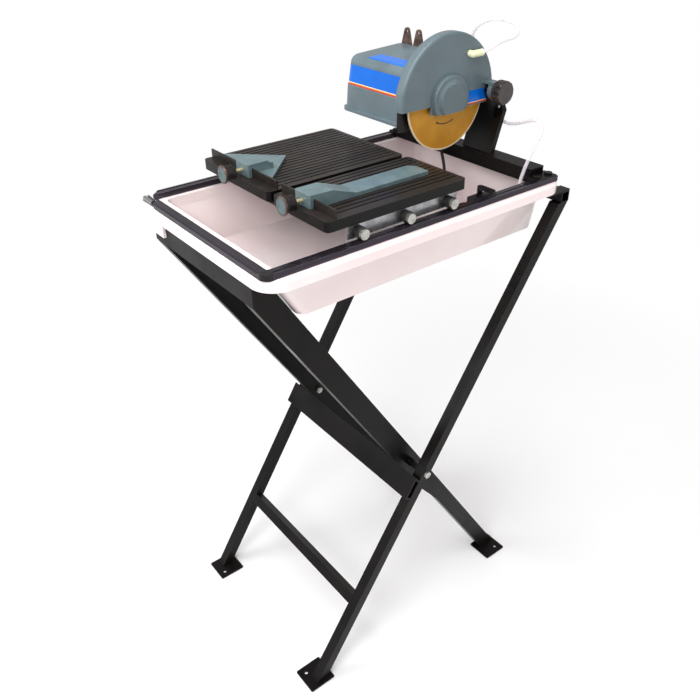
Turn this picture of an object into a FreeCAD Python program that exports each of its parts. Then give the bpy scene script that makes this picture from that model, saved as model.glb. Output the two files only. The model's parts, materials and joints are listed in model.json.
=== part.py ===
"""Tile cutter: a wet saw with a sliding table in a water pan, carried on a folding stand of crossed legs.

Millimetres. +Z is up, +Y is the cutting direction, +X is the operator's right.
The origin is on the floor, under the pivot where the two pairs of legs cross.
"""
import FreeCAD, Part
import os
from math import asin, atan2, cos, degrees, hypot, pi, radians, sin, sqrt, tan

V = FreeCAD.Vector
X_AXIS = V(1, 0, 0)
Y_AXIS = V(0, 1, 0)
Z_AXIS = V(0, 0, 1)

# ---------------------------------------------------------------- driving dimensions
# Folding stand
rim_underside = 931.0
pivot_height = 424.7
tube_size = 21.0
tube_wall = 1.6
tube_leg_inset = 1.0
rear_bar_outset = 2.869
rear_bar_lead = 4.0
pivot_spacing = 27.5
front_channel_inset = 5.0507
channel_width = 40.8
channel_foot_width = 32.2
channel_depth = 28.0
channel_sheet = 2.5
taper_start = 105.0
taper_length = 71.0
foot_side = 58.0
foot_thickness = 3.0
foot_hole_radius = 3.5
tube_foot_offset = 10.8
channel_foot_reach = 6.5
support_bar = 20.0
support_tab_thickness = 3.0
support_tab_length = 60.0
front_channel_height = 39.0
front_channel_lip = 21.0
crossbar_up_leg = 194.0
stop_reach = 59.0
stop_depth = 14.0
stop_sheet = 3.0
pivot_bolt_radius = 4.0
pivot_head_height = 5.5
pivot_head_flats = 13.0
pivot_nut_height = 6.5
spacer_radius = 8.0

# Water pan
pan_half_width = 208.0
pan_length = 636.6
pan_centre_y = -6.3
pan_rim_height = 19.0
pan_rim_radius = 42.0
pan_wall = 3.0
tub_depth = 78.0
tub_leg_gap = 10.0
tub_side_slope = 14.0
tub_back_clearance = 24.0
tub_front_gap = 4.7
tub_corner_radius = 16.0
rim_edge_radius = 6.0
corner_lip_width = 93.0
corner_lip_drop = 22.0
corner_lip_thickness = 5.0

# Rails and rear beam
rail_inset = 9.4
rail_width = 16.6
rail_height = 9.8
rail_groove_width = 4.0
rail_groove_depth = 1.4
rail_front_inset = 4.0
rail_back_inset = 16.3
left_rail_chamfer = 16.0
front_bar_gap = 24.0
front_bar_chamfer = 12.0
corner_cap_radius = 14.0
beam_setback = 50.0
beam_depth = 35.0
beam_height = 16.0
beam_foot_length = 52.0
beam_foot_thickness = 3.0
bolt_radius = 4.0

# Sliding table
table_overhang = 0.6
table_setback = 119.2
table_length = 281.4
table_height = 17.0
table_plate = 5.6
table_wall = 4.0
table_corner_radius = 8.0
slot_centre = 33.4
slot_width = 11.0
groove_pitch = 11.6
groove_width = 3.4
groove_depth = 1.4
bridge_width = 30.0
bridge_thickness = 5.0
roller_radius = 10.0
roller_width = 12.0
roller_headroom = 4.0
roller_inset = 0.6
roller_front_setback = 60.1
roller_back_setback = 37.3
roller_gap = 0.1
axle_radius = 3.0
axle_head_radius = 8.3
axle_head_height = 5.5
bracket_sheet = 4.0

# Ruler bars and guides
ruler_setback = 17.4
ruler_sheet = 3.0
ruler_height = 14.1
ruler_left_inset = 0.6
ruler_right_inset = 2.6
ruler_slot_gap = 2.0
guide_bridge = 7.0
guide_cheek = 7.0
guide_gap = 0.4
guide_block_width = 39.0
rip_block_offset = 54.6
rip_arm_offset = 2.5
rip_slope_start = 31.0
rip_slope_length = 45.0
rip_arm_thickness = 6.0
rip_tip_inset = 36.0
rip_tip_chamfer = 10.0
mitre_block_offset = 80.4
mitre_apex_offset = 3.0
mitre_reach = 91.0
mitre_plate_thickness = 5.5
mitre_rib_length = 39.0
guide_screw_rise = 9.1
guide_screw_radius = 3.5
guide_screw_length = 21.0
guide_knob_cover = 7.0
guide_knob_radius = 15.0
guide_knob_face = 4.0
guide_knob_grip_radius = 13.0
guide_knob_grip_length = 20.0

# Cutting head
blade_radius = 90.0
blade_thickness = 2.2
cut_depth = 7.2
arbor_radius = 7.95
arbor_overhang = 3.5
blade_flange_radius = 20.0
blade_flange_thickness = 3.0
arbor_nut_flats = 20.0
arbor_nut_height = 6.0
guard_clearance = 19.0
guard_left_room = 13.4
guard_right_room = 8.6
guard_sheet = 2.5
guard_edge_radius = 5.0
guard_front_drop = 6.7
guard_middle_drop = 21.7
guard_back_drop = 19.7
guard_step_forward = 42.2
guard_step_rear = 38.8
hub_radius = 41.0
hub_opening_radius = 34.0
hub_depth = 8.0
hub_edge_radius = 3.0
hub_dome_radius = 33.0
hub_dome_depth = 4.5
motor_guard_gap = 5.0
motor_length = 183.0
motor_forward = 76.2
motor_rearward = 73.8
motor_drop = 43.7
motor_parting_rise = 2.3
motor_rise = 61.3
motor_top_fall = 8.0
motor_wall = 3.0
motor_flange = 6.0
motor_flange_height = 5.0
motor_step = 3.0
motor_draft = 6.0
motor_top_radius = 16.0
motor_side_radius = 22.0
stator_radius = 38.0
stator_left_room = 32.0
stator_right_room = 35.0
collar_radius = 40.0
lug_inset = 24.0
lug_pitch = 32.0
lug_width = 28.0
lug_height = 28.0
lug_sheet = 4.0
lug_sink = 3.5
lug_setback = 24.0
lug_crown_radius = 6.5
lug_hole_radius = 3.0

# Tilt post and lock knob
post_left_room = 35.4
post_width = 72.0
post_thickness = 10.0
post_setback = 11.3
post_lean = 17.5
post_chamfer = 12.0
tilt_setback = 6.7
tilt_rise = 2.8
post_drop = 24.5
tilt_bolt_radius = 6.0
post_ear_gap = 4.0
post_ear_width = 11.0
post_ear_radius = 11.0
head_ear_width = 11.7
head_ear_radius = 16.0
arm_inset = 15.5
arm_front = 13.0
arm_back = 6.0
arm_gap = 0.8
lock_knob_radius = 20.5
lock_knob_width = 19.0
lock_knob_scallops = 12

# Pump, hose and lead
pump_side_gap = 34.0
pump_back_gap = 42.0
pump_length = 56.0
pump_depth = 50.0
pump_height = 50.0
pump_handle_rise = 20.0
spout_length = 8.0
spout_rise = 28.0
spout_radius = 4.5
hose_radius = 3.2
lead_radius = 3.0
elbow_reach = 7.0
elbow_setback = 43.8
elbow_rise = 69.3
elbow_length = 23.0
elbow_radius = 6.0

# Fits
running_fit = 0.05
free_gap = 0.3

# ---------------------------------------------------------------- places that follow from the sizes
# Pan and stand
pan_front = pan_centre_y - pan_length / 2
pan_back = pan_centre_y + pan_length / 2
rim_top = rim_underside + pan_rim_height
tub_floor = rim_underside - tub_depth
tub_back = pan_back - tub_back_clearance
tube_frame_half_width = pan_half_width - tube_leg_inset
leg_inner_x = tube_frame_half_width - tube_size
channel_frame_half_width = leg_inner_x - pivot_spacing
channel_foot_centre_x = channel_frame_half_width + channel_foot_reach
tub_half_width_top = leg_inner_x - tub_leg_gap
tub_half_width_floor = tub_half_width_top - tub_side_slope
bar_top = rim_underside - support_tab_thickness
bar_bottom = bar_top - support_bar
bar_centre_y = pan_back + rear_bar_outset
leg_top_y = bar_centre_y - rear_bar_lead
tube_lean = leg_top_y / (bar_bottom - pivot_height)
tube_leg_angle = degrees(atan2(1, tube_lean))
front_channel_y = pan_front + front_channel_inset
front_channel_rise = rim_underside - front_channel_height - pivot_height
channel_leg_angle = degrees(
    atan2(front_channel_rise, -front_channel_y)
    + asin(channel_width / 2 / hypot(front_channel_rise, front_channel_y))
)

# Rails, beam and table
rail_outer = pan_half_width - rail_inset
rail_inner = rail_outer - rail_width
rail_top = rim_top + rail_height
rail_front = pan_front + rail_front_inset
rail_back = pan_back - rail_back_inset
front_bar_left = front_bar_gap - rail_inner
beam_front = rail_back - beam_setback
table_half_width = rail_inner + table_overhang
table_front = rail_front + table_setback
table_back = table_front + table_length
roller_z = rail_top + roller_radius + roller_gap
skirt_bottom = roller_z + roller_radius + roller_headroom
table_top = skirt_bottom + table_height
roller_inner_face = table_half_width - table_wall - roller_inset
roller_first = table_front + roller_front_setback
roller_spacing = (table_back - roller_back_setback - roller_first) / 2
slot_left = slot_centre - slot_width / 2
slot_right = slot_centre + slot_width / 2

# Ruler bars and guides
ruler_front = table_front + ruler_setback
ruler_back = ruler_front + ruler_sheet
ruler_top = table_top + ruler_height
ruler_left_end = ruler_left_inset - table_half_width
ruler_right_end = table_half_width - ruler_right_inset
guide_top = ruler_top + guide_bridge
rip_block_left = slot_centre + rip_block_offset
rip_block_right = rip_block_left + guide_block_width
rip_arm_right = rip_block_right + rip_arm_offset
rip_tip_y = table_back - rip_tip_inset
mitre_block_right = slot_centre - mitre_block_offset
mitre_block_left = mitre_block_right - guide_block_width
mitre_apex_x = mitre_block_left - mitre_apex_offset
mitre_apex_y = ruler_back + mitre_reach
mitre_rib_end = ruler_back + mitre_rib_length
guide_knob_height = table_top + guide_screw_rise

# Cutting head, hung from the tilt axis over the slot
guard_radius = blade_radius + guard_clearance
post_foot_y = beam_front + post_setback
tilt_y = post_foot_y + tilt_setback
blade_y = tilt_y - guard_radius + arm_inset
blade_z = table_top - cut_depth + blade_radius
tilt_z = blade_z + tilt_rise
post_top = tilt_z - post_drop
guard_left = slot_centre - guard_left_room
guard_right = slot_centre + guard_right_room
guard_front_edge = blade_z - guard_front_drop
guard_middle_edge = blade_z - guard_middle_drop
guard_back_edge = blade_z - guard_back_drop
guard_step_front = blade_y - guard_step_forward
guard_step_back = blade_y + guard_step_rear
arbor_tip = guard_right + arbor_overhang
motor_right = guard_left - motor_guard_gap
motor_left = motor_right - motor_length
motor_front = blade_y - motor_forward
motor_back = blade_y + motor_rearward
motor_base = blade_z - motor_drop
motor_parting = blade_z + motor_parting_rise
motor_top = blade_z + motor_rise
stator_left = motor_left + stator_left_room
stator_right = motor_right - stator_right_room
lug_left = motor_left + lug_inset
lug_y = motor_back - lug_setback
post_left = slot_centre - post_left_room
post_right = post_left + post_width
post_ear_left = guard_right + post_ear_gap
post_ear_right = post_ear_left + post_ear_width
head_ear_right = post_ear_right + free_gap + head_ear_width

# Pump and elbow
pump_right = tub_half_width_floor - pump_side_gap
pump_left = pump_right - pump_length
pump_back = tub_back - pump_back_gap
pump_front = pump_back - pump_depth
spout_y = (pump_front + pump_back) / 2
spout_z = tub_floor + pan_wall + spout_rise
elbow_x = guard_right + elbow_reach
elbow_y = blade_y + elbow_setback
elbow_z = blade_z + elbow_rise
elbow_end = elbow_y + elbow_length

# Routes of the hose and the lead, from end to end
hose_split = (66.0, 265.0, 1204.0)
lower_hose_route = [
    (pump_right + spout_length, spout_y, spout_z),
    (151.0, 222.0, 886.0),
    (160.0, 225.0, 897.0),
    (163.0, 229.0, 914.0),
    (163.0, 233.0, 940.0),
    (168.0, 236.0, 972.0),
    (177.0, 241.0, 1006.0),
    (186.0, 245.0, 1032.0),
    (189.5, 247.0, 1046.0),
    (182.0, 250.5, 1057.5),
    (167.0, 256.0, 1058.5),
    (146.0, 263.0, 1051.0),
    (120.0, 274.0, 1040.0),
    (94.0, 288.0, 1030.0),
    (68.0, 300.0, 1022.0),
    (43.0, 306.0, 1024.0),
    (23.0, 306.0, 1041.0),
    (13.0, 303.0, 1064.0),
    (6.0, 294.0, 1087.0),
    (0.0, 286.0, 1112.0),
    (-6.0, 277.0, 1136.0),
    (-8.0, 268.0, 1158.0),
    (0.0, 263.0, 1179.0),
    (17.0, 263.0, 1193.0),
    (35.0, 264.0, 1201.0),
    (51.0, 265.0, 1204.0),
    hose_split,
]
upper_hose_route = [
    hose_split,
    (80.0, 265.0, 1204.0),
    (93.0, 265.0, 1201.0),
    (102.0, 265.0, 1192.0),
    (98.0, 265.0, 1182.0),
    (86.0, 266.0, 1177.0),
    (71.0, 267.0, 1172.0),
    (59.0, 264.0, 1165.0),
    (51.0, 254.0, 1157.0),
    (elbow_x, elbow_end, elbow_z),
]
lead_route = [
    (pump_left, spout_y - 6, spout_z + 1),
    (58.0, 213.0, 884.0),
    (38.0, 206.0, 876.0),
    (14.0, 206.0, 874.0),
    (-6.0, 218.0, 890.0),
    (-20.0, 232.0, 922.0),
    (-38.0, 238.0, 955.0),
    (-52.0, 238.5, 990.0),
    (-60.0, 238.0, 1018.0),
    (-60.0, 238.0, motor_base),
]


# ---------------------------------------------------------------- helpers
def save(name, shape):
    """Writes one sub-part to its own file."""
    shape.exportStep("parts/" + name + ".step")


def box(x0, x1, y0, y1, z0, z1):
    """Block between two corners."""
    return Part.makeBox(x1 - x0, y1 - y0, z1 - z0, V(x0, y0, z0))


def rod(radius, start, end):
    """Round bar from one point to another."""
    a = V(*start)
    run = V(*end) - a
    return Part.makeCylinder(radius, run.Length, a, run)


def prism_x(points, x0, x1):
    """Outline of (y, z) points, pushed along X."""
    face = Part.Face(Part.makePolygon([V(x0, y, z) for y, z in points + points[:1]]))
    return face.extrude(V(x1 - x0, 0, 0))


def prism_y(points, y0, y1):
    """Outline of (x, z) points, pushed along Y."""
    face = Part.Face(Part.makePolygon([V(x, y0, z) for x, z in points + points[:1]]))
    return face.extrude(V(0, y1 - y0, 0))


def prism_z(points, z0, z1):
    """Outline of (x, y) points, pushed along Z."""
    face = Part.Face(Part.makePolygon([V(x, y, z0) for x, y in points + points[:1]]))
    return face.extrude(V(0, 0, z1 - z0))


def hexagon(flats, start, end):
    """Hexagonal bar from one point to another."""
    a = V(*start)
    run = V(*end) - a
    bar = Part.makeCylinder(flats / sqrt(3), run.Length, a, run)
    turn = FreeCAD.Rotation(Z_AXIS, run)
    cuts = []
    for i in range(6):
        side = Part.makeBox(flats, 2 * flats, run.Length, V(flats / 2, -flats, 0))
        side.rotate(V(0, 0, 0), Z_AXIS, 60 * i)
        side.Placement = FreeCAD.Placement(a, turn).multiply(side.Placement)
        cuts.append(side)
    return bar.cut(cuts)


def rounded_block(x0, x1, y0, y1, z0, z1, radius):
    """Block with rounded upright edges."""
    block = box(x0, x1, y0, y1, z0, z1)
    upright = [e for e in block.Edges if abs(e.tangentAt(e.FirstParameter).z) > 0.99]
    return block.makeFillet(radius, upright)


def mirrored(shape):
    """The same piece on the other side of the middle plane."""
    return shape.mirror(V(0, 0, 0), X_AXIS)


def pair(shape):
    """A piece and its mirror image as one group of separate solids."""
    return Part.makeCompound([shape, mirrored(shape)])


def leaning(shape, angle, towards):
    """Tilts an upright leg shape about the pivot: towards +1 leans its top to +Y, -1 to -Y."""
    shape.rotate(V(0, 0, 0), X_AXIS, -towards * (90 - angle))
    shape.translate(V(0, 0, pivot_height))
    return shape


def tube_point(along, out):
    """(y, z) at a distance down the tube legs from the pivot, and out from their centre to the front."""
    a = radians(tube_leg_angle)
    y = -along * cos(a) - out * sin(a)
    z = pivot_height - along * sin(a) + out * cos(a)
    return y, z


def crossing(out_tube, out_channel):
    """(y, z) where a line beside the tube legs meets one beside the channel legs, before the pivot."""
    between = radians(tube_leg_angle + channel_leg_angle)
    along = (out_channel - out_tube * cos(pi - between)) / sin(between)
    return tube_point(along, out_tube)


# ---------------------------------------------------------------- folding stand
def tube_leg():
    """Right leg of square tube, from its foot plate up to the rear bar."""
    half = tube_size / 2
    reach = 700.0
    outer = box(leg_inner_x, tube_frame_half_width, -half, half, -reach, reach)
    w = tube_wall
    inner = box(
        leg_inner_x + w, tube_frame_half_width - w, w - half, half - w, -reach - 1, reach + 1
    )
    leg = leaning(outer.cut(inner), tube_leg_angle, 1)
    between = box(leg_inner_x - 1, tube_frame_half_width + 1, -reach, reach, foot_thickness, bar_bottom)
    leg = leg.common(between)
    hole = rod(
        pivot_bolt_radius,
        (leg_inner_x - 1, 0, pivot_height),
        (tube_frame_half_width + 1, 0, pivot_height),
    )
    return leg.cut(hole)


def foot_plate(centre_x, centre_y, hole_x, hole_y):
    """Square plate under a leg, with one screw hole."""
    half = foot_side / 2
    plate = rounded_block(
        centre_x - half, centre_x + half, centre_y - half, centre_y + half, 0, foot_thickness, 3.0
    )
    hole = rod(foot_hole_radius, (hole_x, hole_y, -1), (hole_x, hole_y, foot_thickness + 1))
    return plate.cut(hole)


def tube_foot():
    """Front foot plate, standing inboard of its leg."""
    centre_x = tube_frame_half_width - tube_size / 2 - tube_foot_offset
    centre_y = -pivot_height * tube_lean
    return foot_plate(centre_x, centre_y, centre_x - 14, centre_y - 14)


def channel_foot():
    """Rear foot plate, reaching outboard of its leg."""
    centre_y = pivot_height / tan(radians(channel_leg_angle)) - 1.5
    return foot_plate(channel_foot_centre_x, centre_y, channel_foot_centre_x + 14, centre_y + 13)


def lower_crossbar():
    """Square tube that ties the two tube legs near the floor."""
    half = tube_size / 2
    down = pivot_height / sin(radians(tube_leg_angle)) - crossbar_up_leg
    outer = box(-leg_inner_x, leg_inner_x, -half, half, -half, half)
    w = tube_wall
    inner = box(-leg_inner_x - 1, leg_inner_x + 1, w - half, half - w, w - half, half - w)
    bar = outer.cut(inner)
    bar.rotate(V(0, 0, 0), X_AXIS, -(90 - tube_leg_angle))
    y, z = tube_point(down, 0)
    bar.translate(V(0, y, z))
    return bar


def rear_support_bar():
    """Square tube across the tops of the tube legs."""
    half = support_bar / 2
    w = tube_wall
    side = tube_frame_half_width
    outer = box(-side, side, bar_centre_y - half, bar_centre_y + half, bar_bottom, bar_top)
    inner = box(
        -side - 1, side + 1, bar_centre_y - half + w, bar_centre_y + half - w, bar_bottom + w, bar_top - w
    )
    return outer.cut(inner)


def support_tab():
    """Flat tab on the rear bar that the pan's rim rests on."""
    back = bar_centre_y + support_bar / 2
    return box(
        leg_inner_x, tube_frame_half_width, back - support_tab_length, back, bar_top, rim_underside
    )


def channel_side(inset):
    """Side outline of a channel leg as (across, along) points, set in by a sheet's thickness."""
    front = channel_width / 2 - inset
    back = -channel_width / 2 + inset
    front_foot = front - (channel_width - channel_foot_width)
    reach = 700.0
    return [
        (-back, -reach),
        (-back, reach),
        (-front, reach),
        (-front, -taper_start),
        (-front_foot, -taper_start - taper_length),
        (-front_foot, -reach),
    ]


def channel_leg():
    """Right leg of bent sheet: a web on the outside and two flanges turned inward."""
    web_outer = channel_frame_half_width
    leg = prism_x(channel_side(0), web_outer - channel_depth, web_outer)
    hollow = prism_x(
        channel_side(channel_sheet), web_outer - channel_depth - 1, web_outer - channel_sheet
    )
    leg = leaning(leg.cut(hollow), channel_leg_angle, -1)
    reach = 700.0
    front = front_channel_y + channel_sheet
    between = box(0, web_outer + 1, front, reach, foot_thickness, rim_underside - channel_sheet)
    leg = leg.common(between)
    hole = rod(pivot_bolt_radius + running_fit, (0, 0, pivot_height), (web_outer + 1, 0, pivot_height))
    return leg.cut(hole)


def front_cross_channel():
    """Bent sheet across the tops of the channel legs, under the front of the rim."""
    side = channel_frame_half_width
    front = front_channel_y
    bottom = rim_underside - front_channel_height
    face = box(-side, side, front, front + channel_sheet, bottom, rim_underside)
    lip = box(-side, side, front, front + front_channel_lip, rim_underside - channel_sheet, rim_underside)
    return face.fuse(lip).removeSplitter()


def stop_channel():
    """Bent sheet across the channel legs that lands on the tube legs when the stand is open."""
    front_of_leg = channel_width / 2
    on_tube = tube_size / 2 + free_gap
    out = on_tube + stop_depth
    outline = [
        crossing(on_tube, front_of_leg),
        tube_point(stop_reach, on_tube),
        tube_point(stop_reach, out),
        crossing(out, front_of_leg),
    ]
    inner = [
        crossing(on_tube - 1, front_of_leg + stop_sheet),
        tube_point(stop_reach - stop_sheet, on_tube - 1),
        tube_point(stop_reach - stop_sheet, out - stop_sheet),
        crossing(out - stop_sheet, front_of_leg + stop_sheet),
    ]
    side = tube_frame_half_width
    return prism_x(outline, -side, side).cut(prism_x(inner, -side - 1, side + 1))


def pivot_bolt():
    """Right pivot bolt: hexagonal head outside the tube leg, shank through both legs."""
    side = tube_frame_half_width
    tip = channel_frame_half_width - channel_sheet - pivot_nut_height - 2
    shank = rod(pivot_bolt_radius, (tip, 0, pivot_height), (side, 0, pivot_height))
    head = hexagon(pivot_head_flats, (side, 0, pivot_height), (side + pivot_head_height, 0, pivot_height))
    return shank.fuse(head)


def pivot_nut():
    """Right nut inside the channel leg's web."""
    inner = channel_frame_half_width - channel_sheet - free_gap
    start = inner - pivot_nut_height
    nut = hexagon(pivot_head_flats, (start, 0, pivot_height), (inner, 0, pivot_height))
    return nut.cut(rod(pivot_bolt_radius, (0, 0, pivot_height), (inner + 1, 0, pivot_height)))


def pivot_spacer():
    """Right tube on the bolt that keeps the two legs apart."""
    start = channel_frame_half_width + free_gap
    spacer = rod(spacer_radius, (start, 0, pivot_height), (leg_inner_x, 0, pivot_height))
    return spacer.cut(
        rod(pivot_bolt_radius, (start - 1, 0, pivot_height), (leg_inner_x + 1, 0, pivot_height))
    )


# ---------------------------------------------------------------- water pan
def tub_front_at(height):
    """Y of the tub's sloping front wall, which follows the channel legs behind a small gap."""
    half_across = channel_width / 2 / sin(radians(channel_leg_angle))
    leg_back = half_across - (height - pivot_height) / tan(radians(channel_leg_angle))
    return leg_back + tub_front_gap


def tub_section(half_width, front, back, height, radius):
    """Closed rounded outline of the tub at one height."""
    block = rounded_block(-half_width, half_width, front, back, height, height + 1, radius)
    bottom = [f for f in block.Faces if f.normalAt(0, 0).z < -0.9][0]
    return bottom.OuterWire


def tub_body(inset, floor):
    """Solid of the tub's outside, or of its inside when set in by the wall, up to the rim's underside."""
    sections = []
    set_back = inset / sin(radians(channel_leg_angle))
    for height, half_width in ((floor, tub_half_width_floor), (rim_underside, tub_half_width_top)):
        front = tub_front_at(height) + set_back
        outline = tub_section(
            half_width - inset, front, tub_back - inset, height, tub_corner_radius - inset
        )
        sections.append(outline)
    return Part.makeLoft(sections, True, True)


def corner_lip():
    """Deeper stretch of the rim's skirt at the front left corner."""
    side = pan_half_width
    t = corner_lip_thickness
    z0 = rim_underside - corner_lip_drop
    outer = rounded_block(-side, side, pan_front, pan_back, z0, rim_underside, pan_rim_radius)
    inner = rounded_block(
        t - side, side, pan_front + t, pan_back, z0 - 1, rim_underside + 1, pan_rim_radius - t
    )
    corner = box(
        -side - 1,
        corner_lip_width - side,
        pan_front - 1,
        pan_front + pan_rim_radius,
        z0 - 1,
        rim_underside,
    )
    return outer.cut(inner).common(corner)


def water_pan():
    """White pan: a wide rim with a deep tub under it, and one deeper corner of the front skirt."""
    side = pan_half_width
    rim = rounded_block(-side, side, pan_front, pan_back, rim_underside, rim_top, pan_rim_radius)
    top_edges = [e for e in rim.Edges if all(abs(v.Z - rim_top) < 0.01 for v in e.Vertexes)]
    rim = rim.makeFillet(rim_edge_radius, top_edges)
    inside = tub_half_width_top - pan_wall
    set_back = pan_wall / sin(radians(channel_leg_angle))
    well = rounded_block(
        -inside, inside, tub_front_at(rim_underside) + set_back, tub_back - pan_wall,
        rim_underside - 1, rim_top + 1, tub_corner_radius - pan_wall,
    )
    tub = tub_body(0, tub_floor).cut(tub_body(pan_wall, tub_floor + pan_wall))
    return rim.cut(well).fuse([tub, corner_lip()])


# ---------------------------------------------------------------- rails, beam and post
def rail_bar(start, end):
    """Right rail: a bar on the rim with one groove along its top."""
    bar = box(rail_inner, rail_outer, start, end, rim_top, rail_top)
    groove_left = rail_outer - 2 * rail_groove_width
    groove_right = groove_left + rail_groove_width
    groove_floor = rail_top - rail_groove_depth
    return bar.cut(box(groove_left, groove_right, start - 1, end + 1, groove_floor, rail_top + 1))


def left_rail_bar(start, end):
    """Left rail: the right one mirrored, with its outer front corner cut off."""
    bar = mirrored(rail_bar(start, end))
    c = left_rail_chamfer
    side = -rail_outer
    corner = [(side - 1, start - 1), (side + c + 1, start - 1), (side - 1, start + c + 1)]
    return bar.cut(prism_z(corner, rim_top - 1, rail_top + 1))


def front_rail_tube():
    """Bar across the front, from the right corner to a slanted end short of the left rail."""
    y0 = rail_front
    c = front_bar_chamfer
    plan = [
        (front_bar_left + c, y0),
        (rail_inner, y0),
        (rail_inner, y0 + rail_width),
        (front_bar_left, y0 + rail_width),
        (front_bar_left, y0 + c),
    ]
    bar = prism_z(plan, rim_top, rail_top)
    long_edges = [
        e for e in bar.Edges
        if abs(e.tangentAt(e.FirstParameter).x) > 0.99 and e.Vertexes[0].Z > rail_top - 0.1
    ]
    return bar.makeFillet(2.0, long_edges)


def rail_corner_cap():
    """Right moulded corner where the front bar meets the rail."""
    y0 = rail_front
    cap = box(rail_inner, rail_outer, y0, y0 + rail_width, rim_top, rail_top + 0.6)
    corner = [
        e for e in cap.Edges
        if abs(e.tangentAt(e.FirstParameter).z) > 0.99
        and e.Vertexes[0].X > rail_outer - 0.1
        and e.Vertexes[0].Y < y0 + 0.1
    ]
    return cap.makeFillet(corner_cap_radius, corner)


def corner_latch():
    """Small spring clip of bent strip across the open front left corner of the rim."""
    x0 = 4.0 - rail_outer
    x1 = front_bar_left + 6.0
    y0 = rail_front + 1.6
    y1 = rail_front + front_bar_chamfer - 0.6
    plate = box(x0, x1, y0, y1, rim_top, rim_top + 2)
    plate = plate.cut(prism_z([(x1 + 1, y0 + 2), (x1 + 1, y1 + 1), (x1 - 8, y1 + 1)], 0, rail_top))
    upright = box(x0 + 6, front_bar_left - 4, y1 - 2, y1, rim_top, rail_top)
    roll = rod(4.0, (x0 + 3, y0 + 4, rim_top + 5), (front_bar_left - 2, y0 + 4, rim_top + 5))
    return plate.fuse([upright, roll])


beam_top = rail_top + beam_height
beam_back = beam_front + beam_depth
beam_side = rail_inner - 6.0


def rear_beam():
    """Bent sheet beam between the rails, with a foot on top of each rail."""
    body = box(-beam_side, beam_side, beam_front, beam_back, rim_top + 1, beam_top)
    w = channel_sheet
    hollow = box(-beam_side - 1, beam_side + 1, beam_front + w, beam_back - w, rim_top, beam_top - w)
    body = body.cut(hollow)
    foot_front = beam_front - 6
    foot = box(
        beam_side,
        rail_outer,
        foot_front,
        foot_front + beam_foot_length,
        rail_top,
        rail_top + beam_foot_thickness,
    )
    foot_back = foot_front + beam_foot_length
    tie = box(beam_side - 6, beam_side, foot_front, foot_back, rail_top, rail_top + beam_foot_thickness)
    feet = pair(foot.fuse(tie))
    beam = body.fuse(feet.Solids)
    holes = []
    for side in (-1, 1):
        for y in (foot_front + 10, foot_front + beam_foot_length - 10):
            x = side * (rail_inner + rail_width / 2 - 3)
            holes.append(rod(bolt_radius, (x, y, rail_top - 1), (x, y, rail_top + 10)))
    return beam.cut(holes).removeSplitter()


def beam_bolts():
    """Four button bolts that hold the beam's feet on the rails."""
    foot_front = beam_front - 6
    seat = rail_top + beam_foot_thickness
    bolts = []
    for side in (-1, 1):
        for y in (foot_front + 10, foot_front + beam_foot_length - 10):
            x = side * (rail_inner + rail_width / 2 - 3)
            shank = rod(bolt_radius, (x, y, rail_top), (x, y, seat))
            head = rod(7.0, (x, y, seat), (x, y, seat + 3.5))
            bolts.append(shank.fuse(head))
    return Part.makeCompound(bolts)


def tilt_post():
    """Leaning plate on the beam with one ear at its top for the head's tilt bolt."""
    slope = tan(radians(post_lean))
    foot_z = beam_top
    across = post_thickness / cos(radians(post_lean))
    rise = post_top - foot_z
    plate = prism_x(
        [
            (post_foot_y, foot_z),
            (post_foot_y + across, foot_z),
            (post_foot_y + across + rise * slope, post_top),
            (post_foot_y + rise * slope, post_top),
        ],
        post_left,
        post_right,
    )
    for x, step in ((post_left, 1), (post_right, -1)):
        inward = x + step * post_chamfer
        corner = [(x, post_top + 1), (inward, post_top + 1), (x, post_top - post_chamfer)]
        plate = plate.cut(prism_y(corner, 0, 400))
    top_y = post_foot_y + (post_top - 30 - foot_z) * slope
    ear = prism_x(
        [
            (top_y, post_top - 30),
            (top_y + across, post_top - 30),
            (tilt_y + post_ear_radius, tilt_z),
            (tilt_y - post_ear_radius, tilt_z),
        ],
        post_ear_left,
        post_ear_right,
    )
    ear = ear.fuse(
        rod(post_ear_radius, (post_ear_left, tilt_y, tilt_z), (post_ear_right, tilt_y, tilt_z))
    )
    bore = rod(
        tilt_bolt_radius + running_fit,
        (post_ear_left - 1, tilt_y, tilt_z),
        (post_ear_right + 1, tilt_y, tilt_z),
    )
    return plate.fuse(ear).cut(bore).removeSplitter()


def lock_knob():
    """Scalloped hand knob that clamps the head's tilt."""
    x0 = head_ear_right + free_gap
    x1 = x0 + lock_knob_width
    knob = rod(lock_knob_radius, (x0, tilt_y, tilt_z), (x1, tilt_y, tilt_z))
    rims = [e for e in knob.Edges if e.Length > 4 * lock_knob_radius]
    knob = knob.makeFillet(2.5, rims)
    cuts = []
    for i in range(lock_knob_scallops):
        a = 2 * pi * i / lock_knob_scallops
        y = tilt_y + (lock_knob_radius + 2.2) * cos(a)
        z = tilt_z + (lock_knob_radius + 2.2) * sin(a)
        cuts.append(rod(4.0, (x0 + 6, y, z), (x1 + 1, y, z)))
    bore = rod(tilt_bolt_radius, (x0 - 1, tilt_y, tilt_z), (x1 - 5, tilt_y, tilt_z))
    return knob.cut(cuts + [bore])


def lock_bolt():
    """Bolt of the lock knob, through the head's ear and the post's ear."""
    return rod(
        tilt_bolt_radius, (post_ear_left, tilt_y, tilt_z), (
            head_ear_right + free_gap + lock_knob_width - 5, tilt_y, tilt_z
        )
    )


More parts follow.
